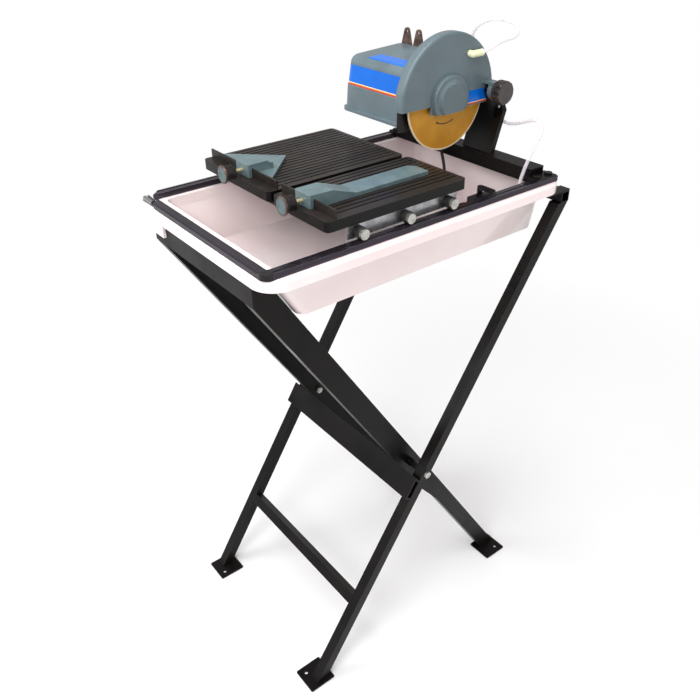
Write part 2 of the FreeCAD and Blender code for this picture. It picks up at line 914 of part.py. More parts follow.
# ---------------------------------------------------------------- cutting head
def guard_edges(radius, x0, x1, drop):
    """Half disc of the guard with its stepped lower edge."""
    disc = rod(radius, (x0, blade_y, blade_z), (x1, blade_y, blade_z))
    far = 2 * guard_radius
    low = [
        box(x0 - 1, x1 + 1, blade_y - far, guard_step_front, 0, guard_front_edge - drop),
        box(x0 - 1, x1 + 1, guard_step_front - 1, guard_step_back, 0, guard_middle_edge - drop),
        box(x0 - 1, x1 + 1, guard_step_back - 1, blade_y + far, 0, guard_back_edge - drop),
    ]
    return disc.cut(low)


def blade_guard():
    """Blue grey guard over the upper half of the blade, with the arm that carries the head's ear."""
    s = guard_sheet
    shell = guard_edges(guard_radius, guard_left, guard_right, 0)
    rims = [e for e in shell.Edges if e.Curve.TypeId == "Part::GeomCircle" and e.Length > guard_radius]
    shell = shell.makeFillet(guard_edge_radius, rims)
    hollow = guard_edges(guard_radius - s, guard_left + s, guard_right - s, 1)
    rims = [e for e in hollow.Edges if e.Curve.TypeId == "Part::GeomCircle" and e.Length > guard_radius]
    hollow = hollow.makeFillet(guard_edge_radius - s, rims)
    shell = shell.cut(hollow)
    collar = rod(collar_radius, (motor_right, blade_y, blade_z), (guard_left, blade_y, blade_z))
    collar = collar.cut(box(motor_right - 1, guard_left + 1, 0, 400, 0, guard_middle_edge))
    shell = shell.fuse(collar)
    shaft_hole = rod(
        arbor_radius + 2, (motor_right - 1, blade_y, blade_z), (guard_left + s + 1, blade_y, blade_z)
    )
    nut_opening = rod(
        hub_opening_radius, (guard_right - s - 1, blade_y, blade_z), (guard_right + 1, blade_y, blade_z)
    )
    nut_opening = nut_opening.cut(box(0, 100, 0, 400, 0, guard_middle_edge + 4))
    return shell.cut([shaft_hole, nut_opening])


def head_arm():
    """Cast arm from the guard's side, over the post's ear, to the head's own ear on the tilt bolt."""
    ear_left = post_ear_right + free_gap
    bar_bottom_z = tilt_z + post_ear_radius + arm_gap
    bar_top_z = tilt_z + head_ear_radius
    arm = box(guard_right, head_ear_right, tilt_y - arm_front, tilt_y + arm_back, bar_bottom_z, bar_top_z)
    web = box(ear_left, head_ear_right, tilt_y - arm_front, tilt_y + arm_back, tilt_z, bar_top_z)
    ear = rod(head_ear_radius, (ear_left, tilt_y, tilt_z), (head_ear_right, tilt_y, tilt_z))
    bore = rod(
        tilt_bolt_radius + running_fit,
        (ear_left - 1, tilt_y, tilt_z),
        (head_ear_right + 1, tilt_y, tilt_z),
    )
    return arm.fuse([ear, web]).cut(bore).removeSplitter()


def guard_hub_cap():
    """Round cover over the arbor nut, flat along its bottom, with a shallow dome."""
    x0 = guard_right
    x1 = x0 + hub_depth
    x2 = x1 + hub_dome_depth
    drum = rod(hub_radius, (x0, blade_y, blade_z), (x1, blade_y, blade_z))
    outer_rim = [e for e in drum.Edges if all(abs(v.X - x1) < 0.01 for v in e.Vertexes)]
    drum = drum.makeFillet(hub_edge_radius, outer_rim)
    dome = Part.makeCone(
        hub_dome_radius, hub_dome_radius - 5, hub_dome_depth, V(x1, blade_y, blade_z), X_AXIS
    )
    cap = drum.fuse(dome)
    cap = cap.cut(box(x0 - 1, x2 + 1, 0, 400, 0, guard_middle_edge))
    room = rod(hub_opening_radius - 6, (x0 - 1, blade_y, blade_z), (x2 - 3, blade_y, blade_z))
    room = room.cut(box(x0 - 2, x2 + 1, 0, 400, 0, guard_middle_edge + 4))
    return cap.cut(room)


def splash_flap():
    """Dark flap that hangs inside the front of the guard."""
    x0 = guard_left + guard_sheet
    y0 = blade_y - guard_radius + guard_edge_radius + 0.5
    return rounded_flap(x0, x0 + 2.5, y0, y0 + 27, motor_base - 1, guard_front_edge + 2)


def rounded_flap(x0, x1, y0, y1, z0, z1):
    """Upright plate with rounded lower corners."""
    plate = box(x0, x1, y0, y1, z0, z1)
    low = [
        e for e in plate.Edges
        if abs(e.tangentAt(e.FirstParameter).x) > 0.99 and e.Vertexes[0].Z < z0 + 0.1
    ]
    return plate.makeFillet(8.0, low)


def drafted_block(x0, x1, y0, y1, z0, z1, draft):
    """Block with rounded upright edges whose outer walls lean in towards the top."""
    low = rounded_block(x0, x1, y0, y1, z0, z0 + 1, motor_side_radius)
    high = rounded_block(x0 + draft, x1, y0 + draft, y1 - draft, z1, z1 + 1, motor_side_radius)
    wires = []
    for block in (low, high):
        wires.append([f for f in block.Faces if f.normalAt(0, 0).z < -0.9][0].OuterWire)
    return Part.makeLoft(wires, True, True)


def motor_cover_lower():
    """Lower half of the motor's housing, with a flared flange at its base."""
    x0, x1, y0, y1 = motor_left, motor_right, motor_front, motor_back
    w = motor_wall
    body = drafted_block(x0, x1, y0, y1, motor_base, motor_parting, 2.0)
    f = motor_flange
    flange_top = motor_base + motor_flange_height
    flange = rounded_block(
        x0 - f + 4, x1, y0 - f, y1 + f - 4, motor_base, flange_top, motor_side_radius + 3
    )
    hollow = rounded_block(
        x0 + w + 3, x1 - w, y0 + w + 3, y1 - w - 3, motor_base + w, motor_parting + 1, 15.0
    )
    shaft_hole = rod(collar_radius - 10, (x1 - w - 1, blade_y, blade_z), (x1 + 1, blade_y, blade_z))
    return body.fuse(flange).cut([hollow, shaft_hole]).removeSplitter()


def sloped_top(block, drop):
    """Cuts a housing block off along a plane that falls towards the front."""
    fall = motor_top_fall / (motor_back - motor_front)
    front = motor_front - 10
    back = motor_back + 10
    front_z = motor_top - drop - fall * (motor_back - front)
    back_z = motor_top - drop + fall * 10
    above = prism_x(
        [(front, front_z), (back, back_z), (back, motor_top + 50), (front, motor_top + 50)],
        motor_left - 10,
        motor_right + 10,
    )
    cut = block.cut(above)
    top = max(cut.Faces, key=lambda f: f.CenterOfMass.z)
    return cut, top.OuterWire.Edges


def motor_cover_upper():
    """Upper half of the motor's housing, rounded along its top, which falls towards the front."""
    s = motor_step
    x0, x1, y0, y1 = motor_left + s, motor_right, motor_front + s, motor_back - s
    w = motor_wall
    body, rim = sloped_top(drafted_block(x0, x1, y0, y1, motor_parting, motor_top + 4, motor_draft), 0)
    body = body.makeFillet(motor_top_radius, rim)
    hollow = drafted_block(x0 + w, x1 - w, y0 + w, y1 - w, motor_parting - 1, motor_top + 4, motor_draft)
    hollow, rim = sloped_top(hollow, w)
    hollow = hollow.makeFillet(motor_top_radius - w, rim)
    shaft_hole = rod(collar_radius - 10, (x1 - w - 1, blade_y, blade_z), (x1 + 1, blade_y, blade_z))
    return body.cut([hollow, shaft_hole])


def motor_stator():
    """Round motor body inside the housing."""
    drum = rod(stator_radius, (stator_left, blade_y, blade_z), (stator_right, blade_y, blade_z))
    room = rod(
        arbor_radius + 1, (stator_left - 1, blade_y, blade_z), (stator_right + 1, blade_y, blade_z)
    )
    foot_floor = motor_base + motor_wall
    foot_top = blade_z - stator_radius + 4
    foot = box(stator_left + 20, stator_right - 20, blade_y - 25, blade_y + 25, foot_floor, foot_top)
    return drum.fuse(foot).cut(room)


def shaft_bearings():
    """Two ball bearings that carry the arbor in the motor's ends."""
    rings = []
    for x in (stator_left - 8, stator_right):
        ring = rod(16.0, (x, blade_y, blade_z), (x + 8, blade_y, blade_z))
        rings.append(
            ring.cut(
                rod(arbor_radius + running_fit, (x - 1, blade_y, blade_z), (x + 9, blade_y, blade_z))
            ),
        )
    return Part.makeCompound(rings)


def arbor_shaft():
    """Shaft that carries the blade."""
    return rod(arbor_radius, (stator_left - 8, blade_y, blade_z), (arbor_tip, blade_y, blade_z))


def blade():
    """Diamond blade with a raised rim of abrasive."""
    half = blade_thickness / 2
    core = rod(
        blade_radius - 7,
        (slot_centre - half + 0.3, blade_y, blade_z),
        (slot_centre + half - 0.3, blade_y, blade_z),
    )
    rim = rod(
        blade_radius, (slot_centre - half, blade_y, blade_z), (slot_centre + half, blade_y, blade_z)
    )
    rim = rim.cut(
        rod(blade_radius - 7, (slot_centre - 5, blade_y, blade_z), (slot_centre + 5, blade_y, blade_z))
    )
    bore = rod(arbor_radius, (slot_centre - 5, blade_y, blade_z), (slot_centre + 5, blade_y, blade_z))
    return core.fuse(rim).cut(bore)


def blade_flanges():
    """Two clamping washers, one each side of the blade."""
    half = blade_thickness / 2 - 0.3
    washers = []
    for side in (-1, 1):
        a = slot_centre + side * half
        b = a + side * blade_flange_thickness
        washer = rod(blade_flange_radius, (a, blade_y, blade_z), (b, blade_y, blade_z))
        washers.append(
            washer.cut(rod(arbor_radius, (a - 9, blade_y, blade_z), (a + 9, blade_y, blade_z)))
        )
    return Part.makeCompound(washers)


def arbor_nut():
    """Hexagonal nut on the end of the arbor."""
    x0 = slot_centre + blade_thickness / 2 - 0.3 + blade_flange_thickness
    nut = hexagon(arbor_nut_flats, (x0, blade_y, blade_z), (x0 + arbor_nut_height, blade_y, blade_z))
    return nut.cut(
        rod(arbor_radius, (x0 - 1, blade_y, blade_z), (x0 + arbor_nut_height + 1, blade_y, blade_z))
    )


def carry_lug(x0):
    """Steel ear that tapers from its foot on the housing to a round crown with a hole."""
    middle = x0 + lug_width / 2
    foot = motor_top - lug_sink
    crown_z = motor_top + lug_height - lug_crown_radius
    half = lug_width / 2
    rise = crown_z - foot
    turn = atan2(rise, half) + asin(lug_crown_radius / hypot(rise, half))
    shoulder = lug_crown_radius * sin(turn)
    shoulder_z = crown_z + lug_crown_radius * cos(turn)
    outline = [
        (middle - half, foot),
        (middle + half, foot),
        (middle + shoulder, shoulder_z),
        (middle - shoulder, shoulder_z),
    ]
    plate = prism_y(outline, lug_y, lug_y + lug_sheet)
    crown = rod(lug_crown_radius, (middle, lug_y, crown_z), (middle, lug_y + lug_sheet, crown_z))
    hole = rod(lug_hole_radius, (middle, lug_y - 1, crown_z), (middle, lug_y + lug_sheet + 1, crown_z))
    return plate.fuse(crown).cut(hole).removeSplitter()


def carry_lugs():
    """Two steel ears that stand on the back of the motor's housing, seated on its rounded top."""
    seat = motor_cover_upper()
    lugs = [carry_lug(lug_left).cut(seat), carry_lug(lug_left + lug_pitch).cut(seat)]
    return Part.makeCompound(lugs)


# ---------------------------------------------------------------- sliding table
roller_places = [roller_first + i * roller_spacing for i in range(3)]


def table_half(x0, x1, groove_count, first_groove):
    """One half of the table: a ribbed top plate with a skirt turned down all round."""
    plate = rounded_block(x0, x1, table_front, table_back, skirt_bottom, table_top, table_corner_radius)
    w = table_wall
    hollow = box(
        x0 + w, x1 - w, table_front + w, table_back - w, skirt_bottom - 1, table_top - table_plate
    )
    grooves = []
    for i in range(groove_count):
        x = first_groove + i * groove_pitch
        grooves.append(
            box(
                x,
                x + groove_width,
                ruler_front + ruler_sheet + 6,
                table_back - 7,
                table_top - groove_depth,
                table_top + 1,
            )
        )
    return plate.cut([hollow] + grooves)


def table_bridges():
    """Two flat bars under the plates that join the table's halves across the slot."""
    top = table_top - table_plate
    bars = []
    for y in (table_front + table_wall + 4, table_back - table_wall - bridge_width - 4):
        bar = box(
            slot_left - 60,
            slot_right + 60,
            y,
            y + bridge_width,
            skirt_bottom - bridge_thickness,
            skirt_bottom,
        )
        pads = [
            box(slot_left - 60, slot_left - table_wall, y, y + bridge_width, skirt_bottom, top),
            box(slot_right + table_wall, slot_right + 60, y, y + bridge_width, skirt_bottom, top),
        ]
        bars.append(bar.fuse(pads).removeSplitter())
    return Part.makeCompound(bars)


def roller_bracket():
    """Right angle strip under the table that carries three roller bolts."""
    face = roller_inner_face - free_gap
    y0 = roller_places[0] - 20
    y1 = roller_places[-1] + 20
    top = table_top - table_plate
    web = box(face - bracket_sheet, face, y0, y1, roller_z - 9, top)
    lip = box(face - 20, face, y0, y1, top - bracket_sheet, top)
    bracket = web.fuse(lip)
    for y in roller_places:
        bracket = bracket.cut(rod(axle_radius, (face - 30, y, roller_z), (face + 1, y, roller_z)))
    return bracket.removeSplitter()


def axle_bolts():
    """Six shoulder bolts, each with a round head outside its roller and a nut inside the bracket."""
    bolts = []
    face = roller_inner_face - free_gap
    head_start = roller_inner_face + roller_width + free_gap
    for y in roller_places:
        shank = rod(axle_radius, (face - bracket_sheet - 5, y, roller_z), (head_start, y, roller_z))
        head = rod(
            axle_head_radius, (head_start, y, roller_z), (head_start + axle_head_height, y, roller_z)
        )
        nut = rod(5.5, (face - bracket_sheet - 4, y, roller_z), (face - bracket_sheet, y, roller_z))
        bolt = shank.fuse([head, nut])
        bolts.append(bolt)
        bolts.append(mirrored(bolt))
    return Part.makeCompound(bolts)


def roller(y):
    """Right roller with rounded rims."""
    x0 = roller_inner_face
    x1 = x0 + roller_width
    wheel = rod(roller_radius, (x0, y, roller_z), (x1, y, roller_z))
    rims = [e for e in wheel.Edges if e.Length > 5 * roller_radius]
    wheel = wheel.makeFillet(1.0, rims)
    return wheel.cut(rod(axle_radius + running_fit, (x0 - 1, y, roller_z), (x1 + 1, y, roller_z)))


# ---------------------------------------------------------------- ruler bars and guides
cheek_back = ruler_front - guide_gap
cheek_front = cheek_back - guide_cheek
guide_base = table_top + guide_gap


def ruler_bars():
    """Two upright strips along the front of the table, one on each half."""
    left = box(ruler_left_end, slot_left - ruler_slot_gap, ruler_front, ruler_back, table_top, ruler_top)
    right = box(
        slot_right + ruler_slot_gap, ruler_right_end, ruler_front, ruler_back, table_top, ruler_top
    )
    return Part.makeCompound([left, right])


def guide_saddle(x0, x1):
    """Block that straddles the ruler bar: a cheek in front, a bridge over it and a body behind."""
    block = box(x0, x1, cheek_front, ruler_back + 30, guide_base, guide_top)
    edges = [
        e for e in block.Edges
        if abs(e.tangentAt(e.FirstParameter).z) > 0.99 and e.Vertexes[0].Y < cheek_front + 0.1
    ]
    block = block.makeFillet(3.0, edges)
    g = guide_gap
    slot = box(x0 - 1, x1 + 1, ruler_front - g, ruler_back + g, guide_base - 1, ruler_top + g)
    return block.cut(slot)


def knob_axis(x):
    """Start and end of a guide's screw bore."""
    return (x, cheek_front - 1, guide_knob_height), (x, cheek_back + 1, guide_knob_height)


def rip_guide():
    """Straight guide: a saddle whose top slopes down to a long flat arm beside the slot."""
    saddle = guide_saddle(rip_block_left, rip_block_right)
    start = ruler_back + guide_gap
    plan = [
        (rip_block_left, start),
        (rip_block_right, start),
        (rip_arm_right, start + 22),
        (rip_arm_right, rip_tip_y),
        (rip_block_left + rip_tip_chamfer, rip_tip_y),
        (rip_block_left, rip_tip_y - rip_tip_chamfer),
    ]
    arm = prism_z(plan, guide_base, guide_top)
    slope_top = ruler_back + rip_slope_start
    slope_foot = slope_top + rip_slope_length
    arm_top = guide_base + rip_arm_thickness
    above = prism_x(
        [
            (slope_top, guide_top),
            (slope_top, guide_top + 5),
            (rip_tip_y + 1, guide_top + 5),
            (rip_tip_y + 1, arm_top),
            (slope_foot, arm_top),
        ],
        rip_block_left - 1,
        rip_arm_right + 1,
    )
    guide = saddle.fuse(arm.cut(above))
    bore_start, bore_end = knob_axis((rip_block_left + rip_block_right) / 2)
    return guide.cut(rod(guide_screw_radius + running_fit, bore_start, bore_end)).removeSplitter()


def mitre_guide():
    """Right-angled guide plate for 45 degree cuts, with a saddle and a rib."""
    start = ruler_back + guide_gap
    reach = mitre_apex_y - start
    plan = [(mitre_apex_x - reach, start), (mitre_apex_x + reach, start), (mitre_apex_x, mitre_apex_y)]
    plate = prism_z(plan, guide_base, guide_base + mitre_plate_thickness)
    saddle = guide_saddle(mitre_block_left, mitre_block_right)
    rib = prism_x(
        [
            (start, guide_base),
            (mitre_rib_end, guide_base),
            (mitre_rib_end, guide_top - 5),
            (start + 12, guide_top),
            (start, guide_top),
        ],
        mitre_block_left,
        mitre_block_right,
    )
    guide = plate.fuse([saddle, rib])
    bore_start, bore_end = knob_axis((mitre_block_left + mitre_block_right) / 2)
    return guide.cut(rod(guide_screw_radius + running_fit, bore_start, bore_end)).removeSplitter()


def guide_screw(x):
    """Brass clamping screw through a guide's cheek."""
    end = cheek_back - 0.2
    start = cheek_front - guide_screw_length
    return rod(guide_screw_radius, (x, start, guide_knob_height), (x, end, guide_knob_height))


def guide_knob(x):
    """Grip with a wide face on the end of the clamping screw."""
    back = cheek_front - guide_screw_length + guide_knob_cover
    middle = back - guide_knob_grip_length
    front = middle - guide_knob_face
    grip = rod(guide_knob_grip_radius, (x, middle, guide_knob_height), (x, back, guide_knob_height))
    face = rod(guide_knob_radius, (x, front, guide_knob_height), (x, middle, guide_knob_height))
    rims = [e for e in face.Edges if e.Length > 5 * guide_knob_radius]
    face = face.makeFillet(1.2, rims)
    bore_end = cheek_front - guide_screw_length
    bore = rod(guide_screw_radius, (x, bore_end, guide_knob_height), (x, back + 1, guide_knob_height))
    return grip.fuse(face).cut(bore)


# ---------------------------------------------------------------- pump
def pump_body():
    """Submersible pump standing on the pan's floor, with a handle over its top."""
    z0 = tub_floor + pan_wall
    z1 = z0 + pump_height
    body = rounded_block(pump_left, pump_right, pump_front, pump_back, z0, z1, 9.0)
    handle = rounded_block(
        pump_left + 8, pump_right - 8, spout_y - 6, spout_y + 6, z1, z1 + pump_handle_rise, 5.0
    )
    gap = box(
        pump_left + 14, pump_right - 14, spout_y - 7, spout_y + 7, z1 + 4, z1 + pump_handle_rise - 5
    )
    spout = rod(
        spout_radius, (pump_right - 1, spout_y, spout_z), (pump_right + spout_length, spout_y, spout_z)
    )
    return body.fuse([handle.cut(gap), spout]).removeSplitter()


def bend_tangent(a, corner, b):
    """Directions into and out of a corner, and how far its arc reaches along each run."""
    into = corner - a
    out = b - corner
    reach = 0.45 * min(into.Length, out.Length)
    return into.normalize(), out.normalize(), reach


def tube(name, route, radius):
    """Round tube along straight runs joined by tangent arcs; prints its bends and compares its volume."""
    points = [V(*p) for p in route]
    edges = []
    bends = []
    here = points[0]
    for a, corner, b in zip(points, points[1:], points[2:]):
        into, out, reach = bend_tangent(a, corner, b)
        start = corner - into * reach
        end = corner + out * reach
        turn = into.getAngle(out)
        bend = reach / tan(turn / 2)
        bends.append(round(bend, 1))
        centre_way = (out - into).normalize()
        middle = corner + centre_way * (hypot(bend, reach) - bend)
        edges.append(Part.LineSegment(here, start).toShape())
        edges.append(Part.Arc(start, middle, end).toShape())
        here = end
    edges.append(Part.LineSegment(here, points[-1]).toShape())
    path = Part.Wire(edges)
    circle = Part.Circle(points[0], points[1] - points[0], radius).toShape()
    solid = path.makePipeShell([Part.Wire([circle])], True, False)
    section = pi * radius * radius
    share = solid.Volume / (section * path.Length)
    print(name, "length", round(path.Length, 1), "volume share", round(share, 4), "bend radii", bends)
    return solid


def water_elbow():
    """Moulded elbow on the guard's side that the hose pushes on to."""
    barrel = rod(elbow_radius, (elbow_x, elbow_y, elbow_z), (elbow_x, elbow_end, elbow_z))
    ball = Part.makeSphere(elbow_radius, V(elbow_x, elbow_y, elbow_z))
    foot = rod(elbow_radius, (guard_right, elbow_y, elbow_z), (elbow_x, elbow_y, elbow_z))
    return barrel.fuse([ball, foot])


# ---------------------------------------------------------------- write the parts
def main():
    os.makedirs("parts", exist_ok=True)
    leg = tube_leg()
    save("tube_leg_right", leg)
    save("tube_leg_left", mirrored(leg))
    save("front_foot_plates", pair(tube_foot()))
    save("lower_crossbar", lower_crossbar())
    save("rear_support_bar", rear_support_bar())
    save("support_tabs", pair(support_tab()))
    save("pivot_bolts", pair(pivot_bolt()))
    save("pivot_nuts", pair(pivot_nut()))
    save("pivot_spacers", pair(pivot_spacer()))
    leg = channel_leg()
    save("channel_leg_right", leg)
    save("channel_leg_left", mirrored(leg))
    save("rear_foot_plates", pair(channel_foot()))
    save("front_cross_channel", front_cross_channel())
    save("stop_channel", stop_channel())
    save("water_pan", water_pan())
    rail_start = rail_front + rail_width
    rails = [rail_bar(rail_start, rail_back), left_rail_bar(rail_start, rail_back)]
    save("rails", Part.makeCompound(rails))
    save("front_rail_tube", front_rail_tube())
    save("rail_corner_cap", rail_corner_cap())
    save("corner_latch", corner_latch())
    save("rear_beam", rear_beam())
    save("beam_bolts", beam_bolts())
    save("tilt_post", tilt_post())
    save("lock_knob", lock_knob())
    save("lock_bolt", lock_bolt())
    save("blade_guard", blade_guard())
    save("head_arm", head_arm())
    save("guard_hub_cap", guard_hub_cap())
    save("splash_flap", splash_flap())
    save("motor_cover_lower", motor_cover_lower())
    save("motor_cover_upper", motor_cover_upper())
    save("motor_stator", motor_stator())
    save("shaft_bearings", shaft_bearings())
    save("arbor_shaft", arbor_shaft())
    save("blade", blade())
    save("blade_flanges", blade_flanges())
    save("arbor_nut", arbor_nut())
    save("carry_lugs", carry_lugs())
    save("table_left", table_half(-table_half_width, slot_left, 17, -table_half_width + 8))
    save("table_right", table_half(slot_right, table_half_width, 11, slot_right + 6))
    save("table_bridges", table_bridges())
    save("roller_brackets", pair(roller_bracket()))
    save("axle_bolts", axle_bolts())
    for i, y in enumerate(roller_places):
        wheel = roller(y)
        save("roller_right_" + str(i + 1), wheel)
        save("roller_left_" + str(i + 1), mirrored(wheel))
    save("ruler_bars", ruler_bars())
    save("rip_guide", rip_guide())
    save("mitre_guide", mitre_guide())
    rip_x = (rip_block_left + rip_block_right) / 2
    mitre_x = (mitre_block_left + mitre_block_right) / 2
    save("rip_screw", guide_screw(rip_x))
    save("rip_knob", guide_knob(rip_x))
    save("mitre_screw", guide_screw(mitre_x))
    save("mitre_knob", guide_knob(mitre_x))
    save("pump_body", pump_body())
    save("water_elbow", water_elbow())
    save("water_hose_lower", tube("water_hose_lower", lower_hose_route, hose_radius))
    upper_hose = tube("water_hose_upper", upper_hose_route, hose_radius)
    save("water_hose_upper", upper_hose.cut(water_elbow()))
    save("pump_lead", tube("pump_lead", lead_route, lead_radius))


main()
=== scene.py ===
# %% [markdown]
# # A tile cutter on its folding stand
# The saw was drawn and packed in CAD, so every plate, tube, bolt and cover is already there in its
# true size. This script loads that model, gives each part its finish, and adds the small pieces
# that make it look real: decals, a screw, fluted knobs, the clear hose and the pump's lead. The
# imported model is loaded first, because every piece below takes its place from it.

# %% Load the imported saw
import json
import math

import bmesh
import bpy
from mathutils import Matrix, Vector


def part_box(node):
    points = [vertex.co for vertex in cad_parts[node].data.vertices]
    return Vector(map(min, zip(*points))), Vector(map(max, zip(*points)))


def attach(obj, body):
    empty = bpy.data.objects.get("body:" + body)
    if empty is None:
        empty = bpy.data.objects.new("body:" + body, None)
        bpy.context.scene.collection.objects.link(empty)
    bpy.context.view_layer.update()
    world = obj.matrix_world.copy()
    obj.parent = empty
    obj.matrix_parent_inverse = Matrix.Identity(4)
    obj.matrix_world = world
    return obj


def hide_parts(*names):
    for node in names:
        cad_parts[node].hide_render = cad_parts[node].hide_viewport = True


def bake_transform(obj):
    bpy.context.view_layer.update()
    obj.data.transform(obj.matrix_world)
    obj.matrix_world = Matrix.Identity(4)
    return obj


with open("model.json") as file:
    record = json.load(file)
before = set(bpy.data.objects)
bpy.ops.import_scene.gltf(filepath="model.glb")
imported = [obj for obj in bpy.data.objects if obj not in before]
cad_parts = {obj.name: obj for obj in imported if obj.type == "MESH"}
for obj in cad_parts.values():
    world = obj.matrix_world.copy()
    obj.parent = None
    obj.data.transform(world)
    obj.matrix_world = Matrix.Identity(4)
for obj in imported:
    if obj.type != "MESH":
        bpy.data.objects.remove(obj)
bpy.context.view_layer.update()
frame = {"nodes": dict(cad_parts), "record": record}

record = frame["record"]
parts = frame["nodes"]

# %% [markdown]
# The camera stands at the near corner of the saw, a little above its head, and looks down along the
# table. It could be aimed with a constraint at an empty, but a plain matrix made from three turns
# keeps the exact angle and leaves nothing live in the file. A camera looks down its own -Z, so the
# third column is the forward direction turned round.

# %% Camera
camera_place = (0.98006, -0.76978, 1.42252)
camera_turns = (52.772, -33.075, -1.040)
focal_length = 38.0


def three_quarter_camera():
    yaw, pitch, roll = (math.radians(turn) for turn in camera_turns)
    forward = Vector((-math.sin(yaw) * math.cos(pitch), math.cos(yaw) * math.cos(pitch), math.sin(pitch)))
    level = Vector((math.cos(yaw), math.sin(yaw), 0))
    upright = level.cross(forward)
    right = level * math.cos(roll) + upright * math.sin(roll)
    up = upright * math.cos(roll) - level * math.sin(roll)
    lens = bpy.data.cameras.new("camera")
    lens.lens = focal_length
    lens.sensor_width = 36.0
    camera = bpy.data.objects.new("camera", lens)
    turned = Matrix((right, up, -forward)).transposed()
    camera.matrix_world = Matrix.Translation(camera_place) @ turned.to_4x4()
    bpy.context.scene.collection.objects.link(camera)
    return camera


bpy.context.scene.camera = three_quarter_camera()
print("camera at", [round(v, 3) for v in bpy.context.scene.camera.location])

# %% [markdown]
# The saw stands in a white studio. Large area lamps give the long soft reflections that show the
# edges of black paint, and a bright even world fills the shadows, as white walls do. A small lamp
# would be easier to aim, but it would leave hard spots on the pan and the blade.

# %% Studio light
def softbox(name, place, target, size, watts, tint=(1, 1, 1)):
    lamp = bpy.data.lights.new(name, "AREA")
    lamp.shape = "RECTANGLE"
    lamp.size, lamp.size_y = size
    lamp.energy = watts
    lamp.color = tint
    box = bpy.data.objects.new(name, lamp)
    aim = (Vector(target) - Vector(place)).to_track_quat("-Z", "Y")
    box.matrix_world = Matrix.Translation(place) @ aim.to_matrix().to_4x4()
    bpy.context.scene.collection.objects.link(box)
    return box


lamps = [
    softbox("lamp_above", (0.1, -0.5, 2.9), (0, 0, 0.9), (2.2, 1.6), 46),
    softbox("lamp_operator", (-1.3, -2.2, 2.0), (0, 0, 0.8), (1.2, 1.6), 26),
    softbox("lamp_right", (2.4, 0.9, 1.5), (0, 0, 0.8), (1.0, 1.8), 5, (1.0, 0.93, 0.9)),
    softbox("lamp_front", (0.9, -1.7, 2.3), (-0.1, -0.15, 0.9), (0.9, 0.9), 30),
]
print("lamps in watts:", {lamp.name: lamp.data.energy for lamp in lamps})

# %% [markdown]
# The white air round the saw is brighter to look at than the light it gives, so the backdrop stays
# white while the shadows keep some depth. A backdrop of mesh would have to be lit for that.

# %% White air
seen_white, fill_light = 1.0, 0.55
studio = bpy.data.worlds.new("white_studio")
studio.use_nodes = True
air = studio.node_tree.nodes["Background"]
air.inputs["Color"].default_value = (1.0, 0.99, 0.99, 1)
seen = studio.node_tree.nodes.new("ShaderNodeLightPath").outputs["Is Camera Ray"]
level = studio.node_tree.nodes.new("ShaderNodeMapRange")
level.inputs["To Min"].default_value = fill_light
level.inputs["To Max"].default_value = seen_white
studio.node_tree.links.new(seen, level.inputs["Value"])
studio.node_tree.links.new(level.outputs["Result"], air.inputs["Strength"])
bpy.context.scene.world = studio
bpy.context.scene.view_settings.view_transform = "Standard"
print("air:", studio.name)

# %% [markdown]
# Most finishes share a few small steps: set up a node, find a place on the object, make clouds, and
# mix two colours. Each step is a helper here, so the finishes below stay short. Node groups could
# hold them as well, but a function can be read from top to bottom.

# %% Helpers for finishes
def screen(red, green, blue):
    """A colour given as 0 to 255, as a colour picker shows it, made linear for a shader."""
    shares = [value / 255 for value in (red, green, blue)]
    return tuple(((s + 0.055) / 1.055) ** 2.4 if s > 0.04 else s / 12.92 for s in shares)


def node(tree, kind, inputs=None, **settings):
    """One shader node, with its settings made and its sockets set or joined."""
    made = tree.nodes.new(kind)
    for key, value in settings.items():
        setattr(made, key, value)
    for key, value in (inputs or {}).items():
        if isinstance(value, bpy.types.NodeSocket):
            tree.links.new(value, made.inputs[key])
        else:
            made.inputs[key].default_value = value
    return made


def place_on_object(tree, stretch=(1, 1, 1), centre=(0, 0, 0)):
    """Object coordinates, moved so that centre is the middle of the pattern."""
    where = node(tree, "ShaderNodeTexCoord").outputs["Object"]
    moved = node(tree, "ShaderNodeVectorMath", {0: where, 1: centre}, operation="SUBTRACT").outputs[0]
    return node(tree, "ShaderNodeMapping", {"Vector": moved, "Scale": stretch}).outputs[0]


def clouds(tree, size, stretch=(1, 1, 1), detail=4.0):
    """Soft blotches about that many metres across, from 0 to 1."""
    inputs = {"Vector": place_on_object(tree, stretch), "Scale": 1 / size, "Detail": detail}
    return node(tree, "ShaderNodeTexNoise", inputs).outputs["Fac"]


def spread(tree, value, low, high, first=0.35, last=0.65):
    """Values from first to last become low to high, and stay in that range."""
    inputs = {"Value": value, "From Min": first, "From Max": last, "To Min": low, "To Max": high}
    return node(tree, "ShaderNodeMapRange", inputs).outputs["Result"]


def mix_colours(tree, share, under, over):
    """The colour under where share is 0 and over where it is 1."""
    made = node(tree, "ShaderNodeMix", {0: share}, data_type="RGBA")
    for place, colour in ((6, under), (7, over)):
        if isinstance(colour, bpy.types.NodeSocket):
            tree.links.new(colour, made.inputs[place])
        else:
            made.inputs[place].default_value = (*colour, 1)
    return made.outputs[2]
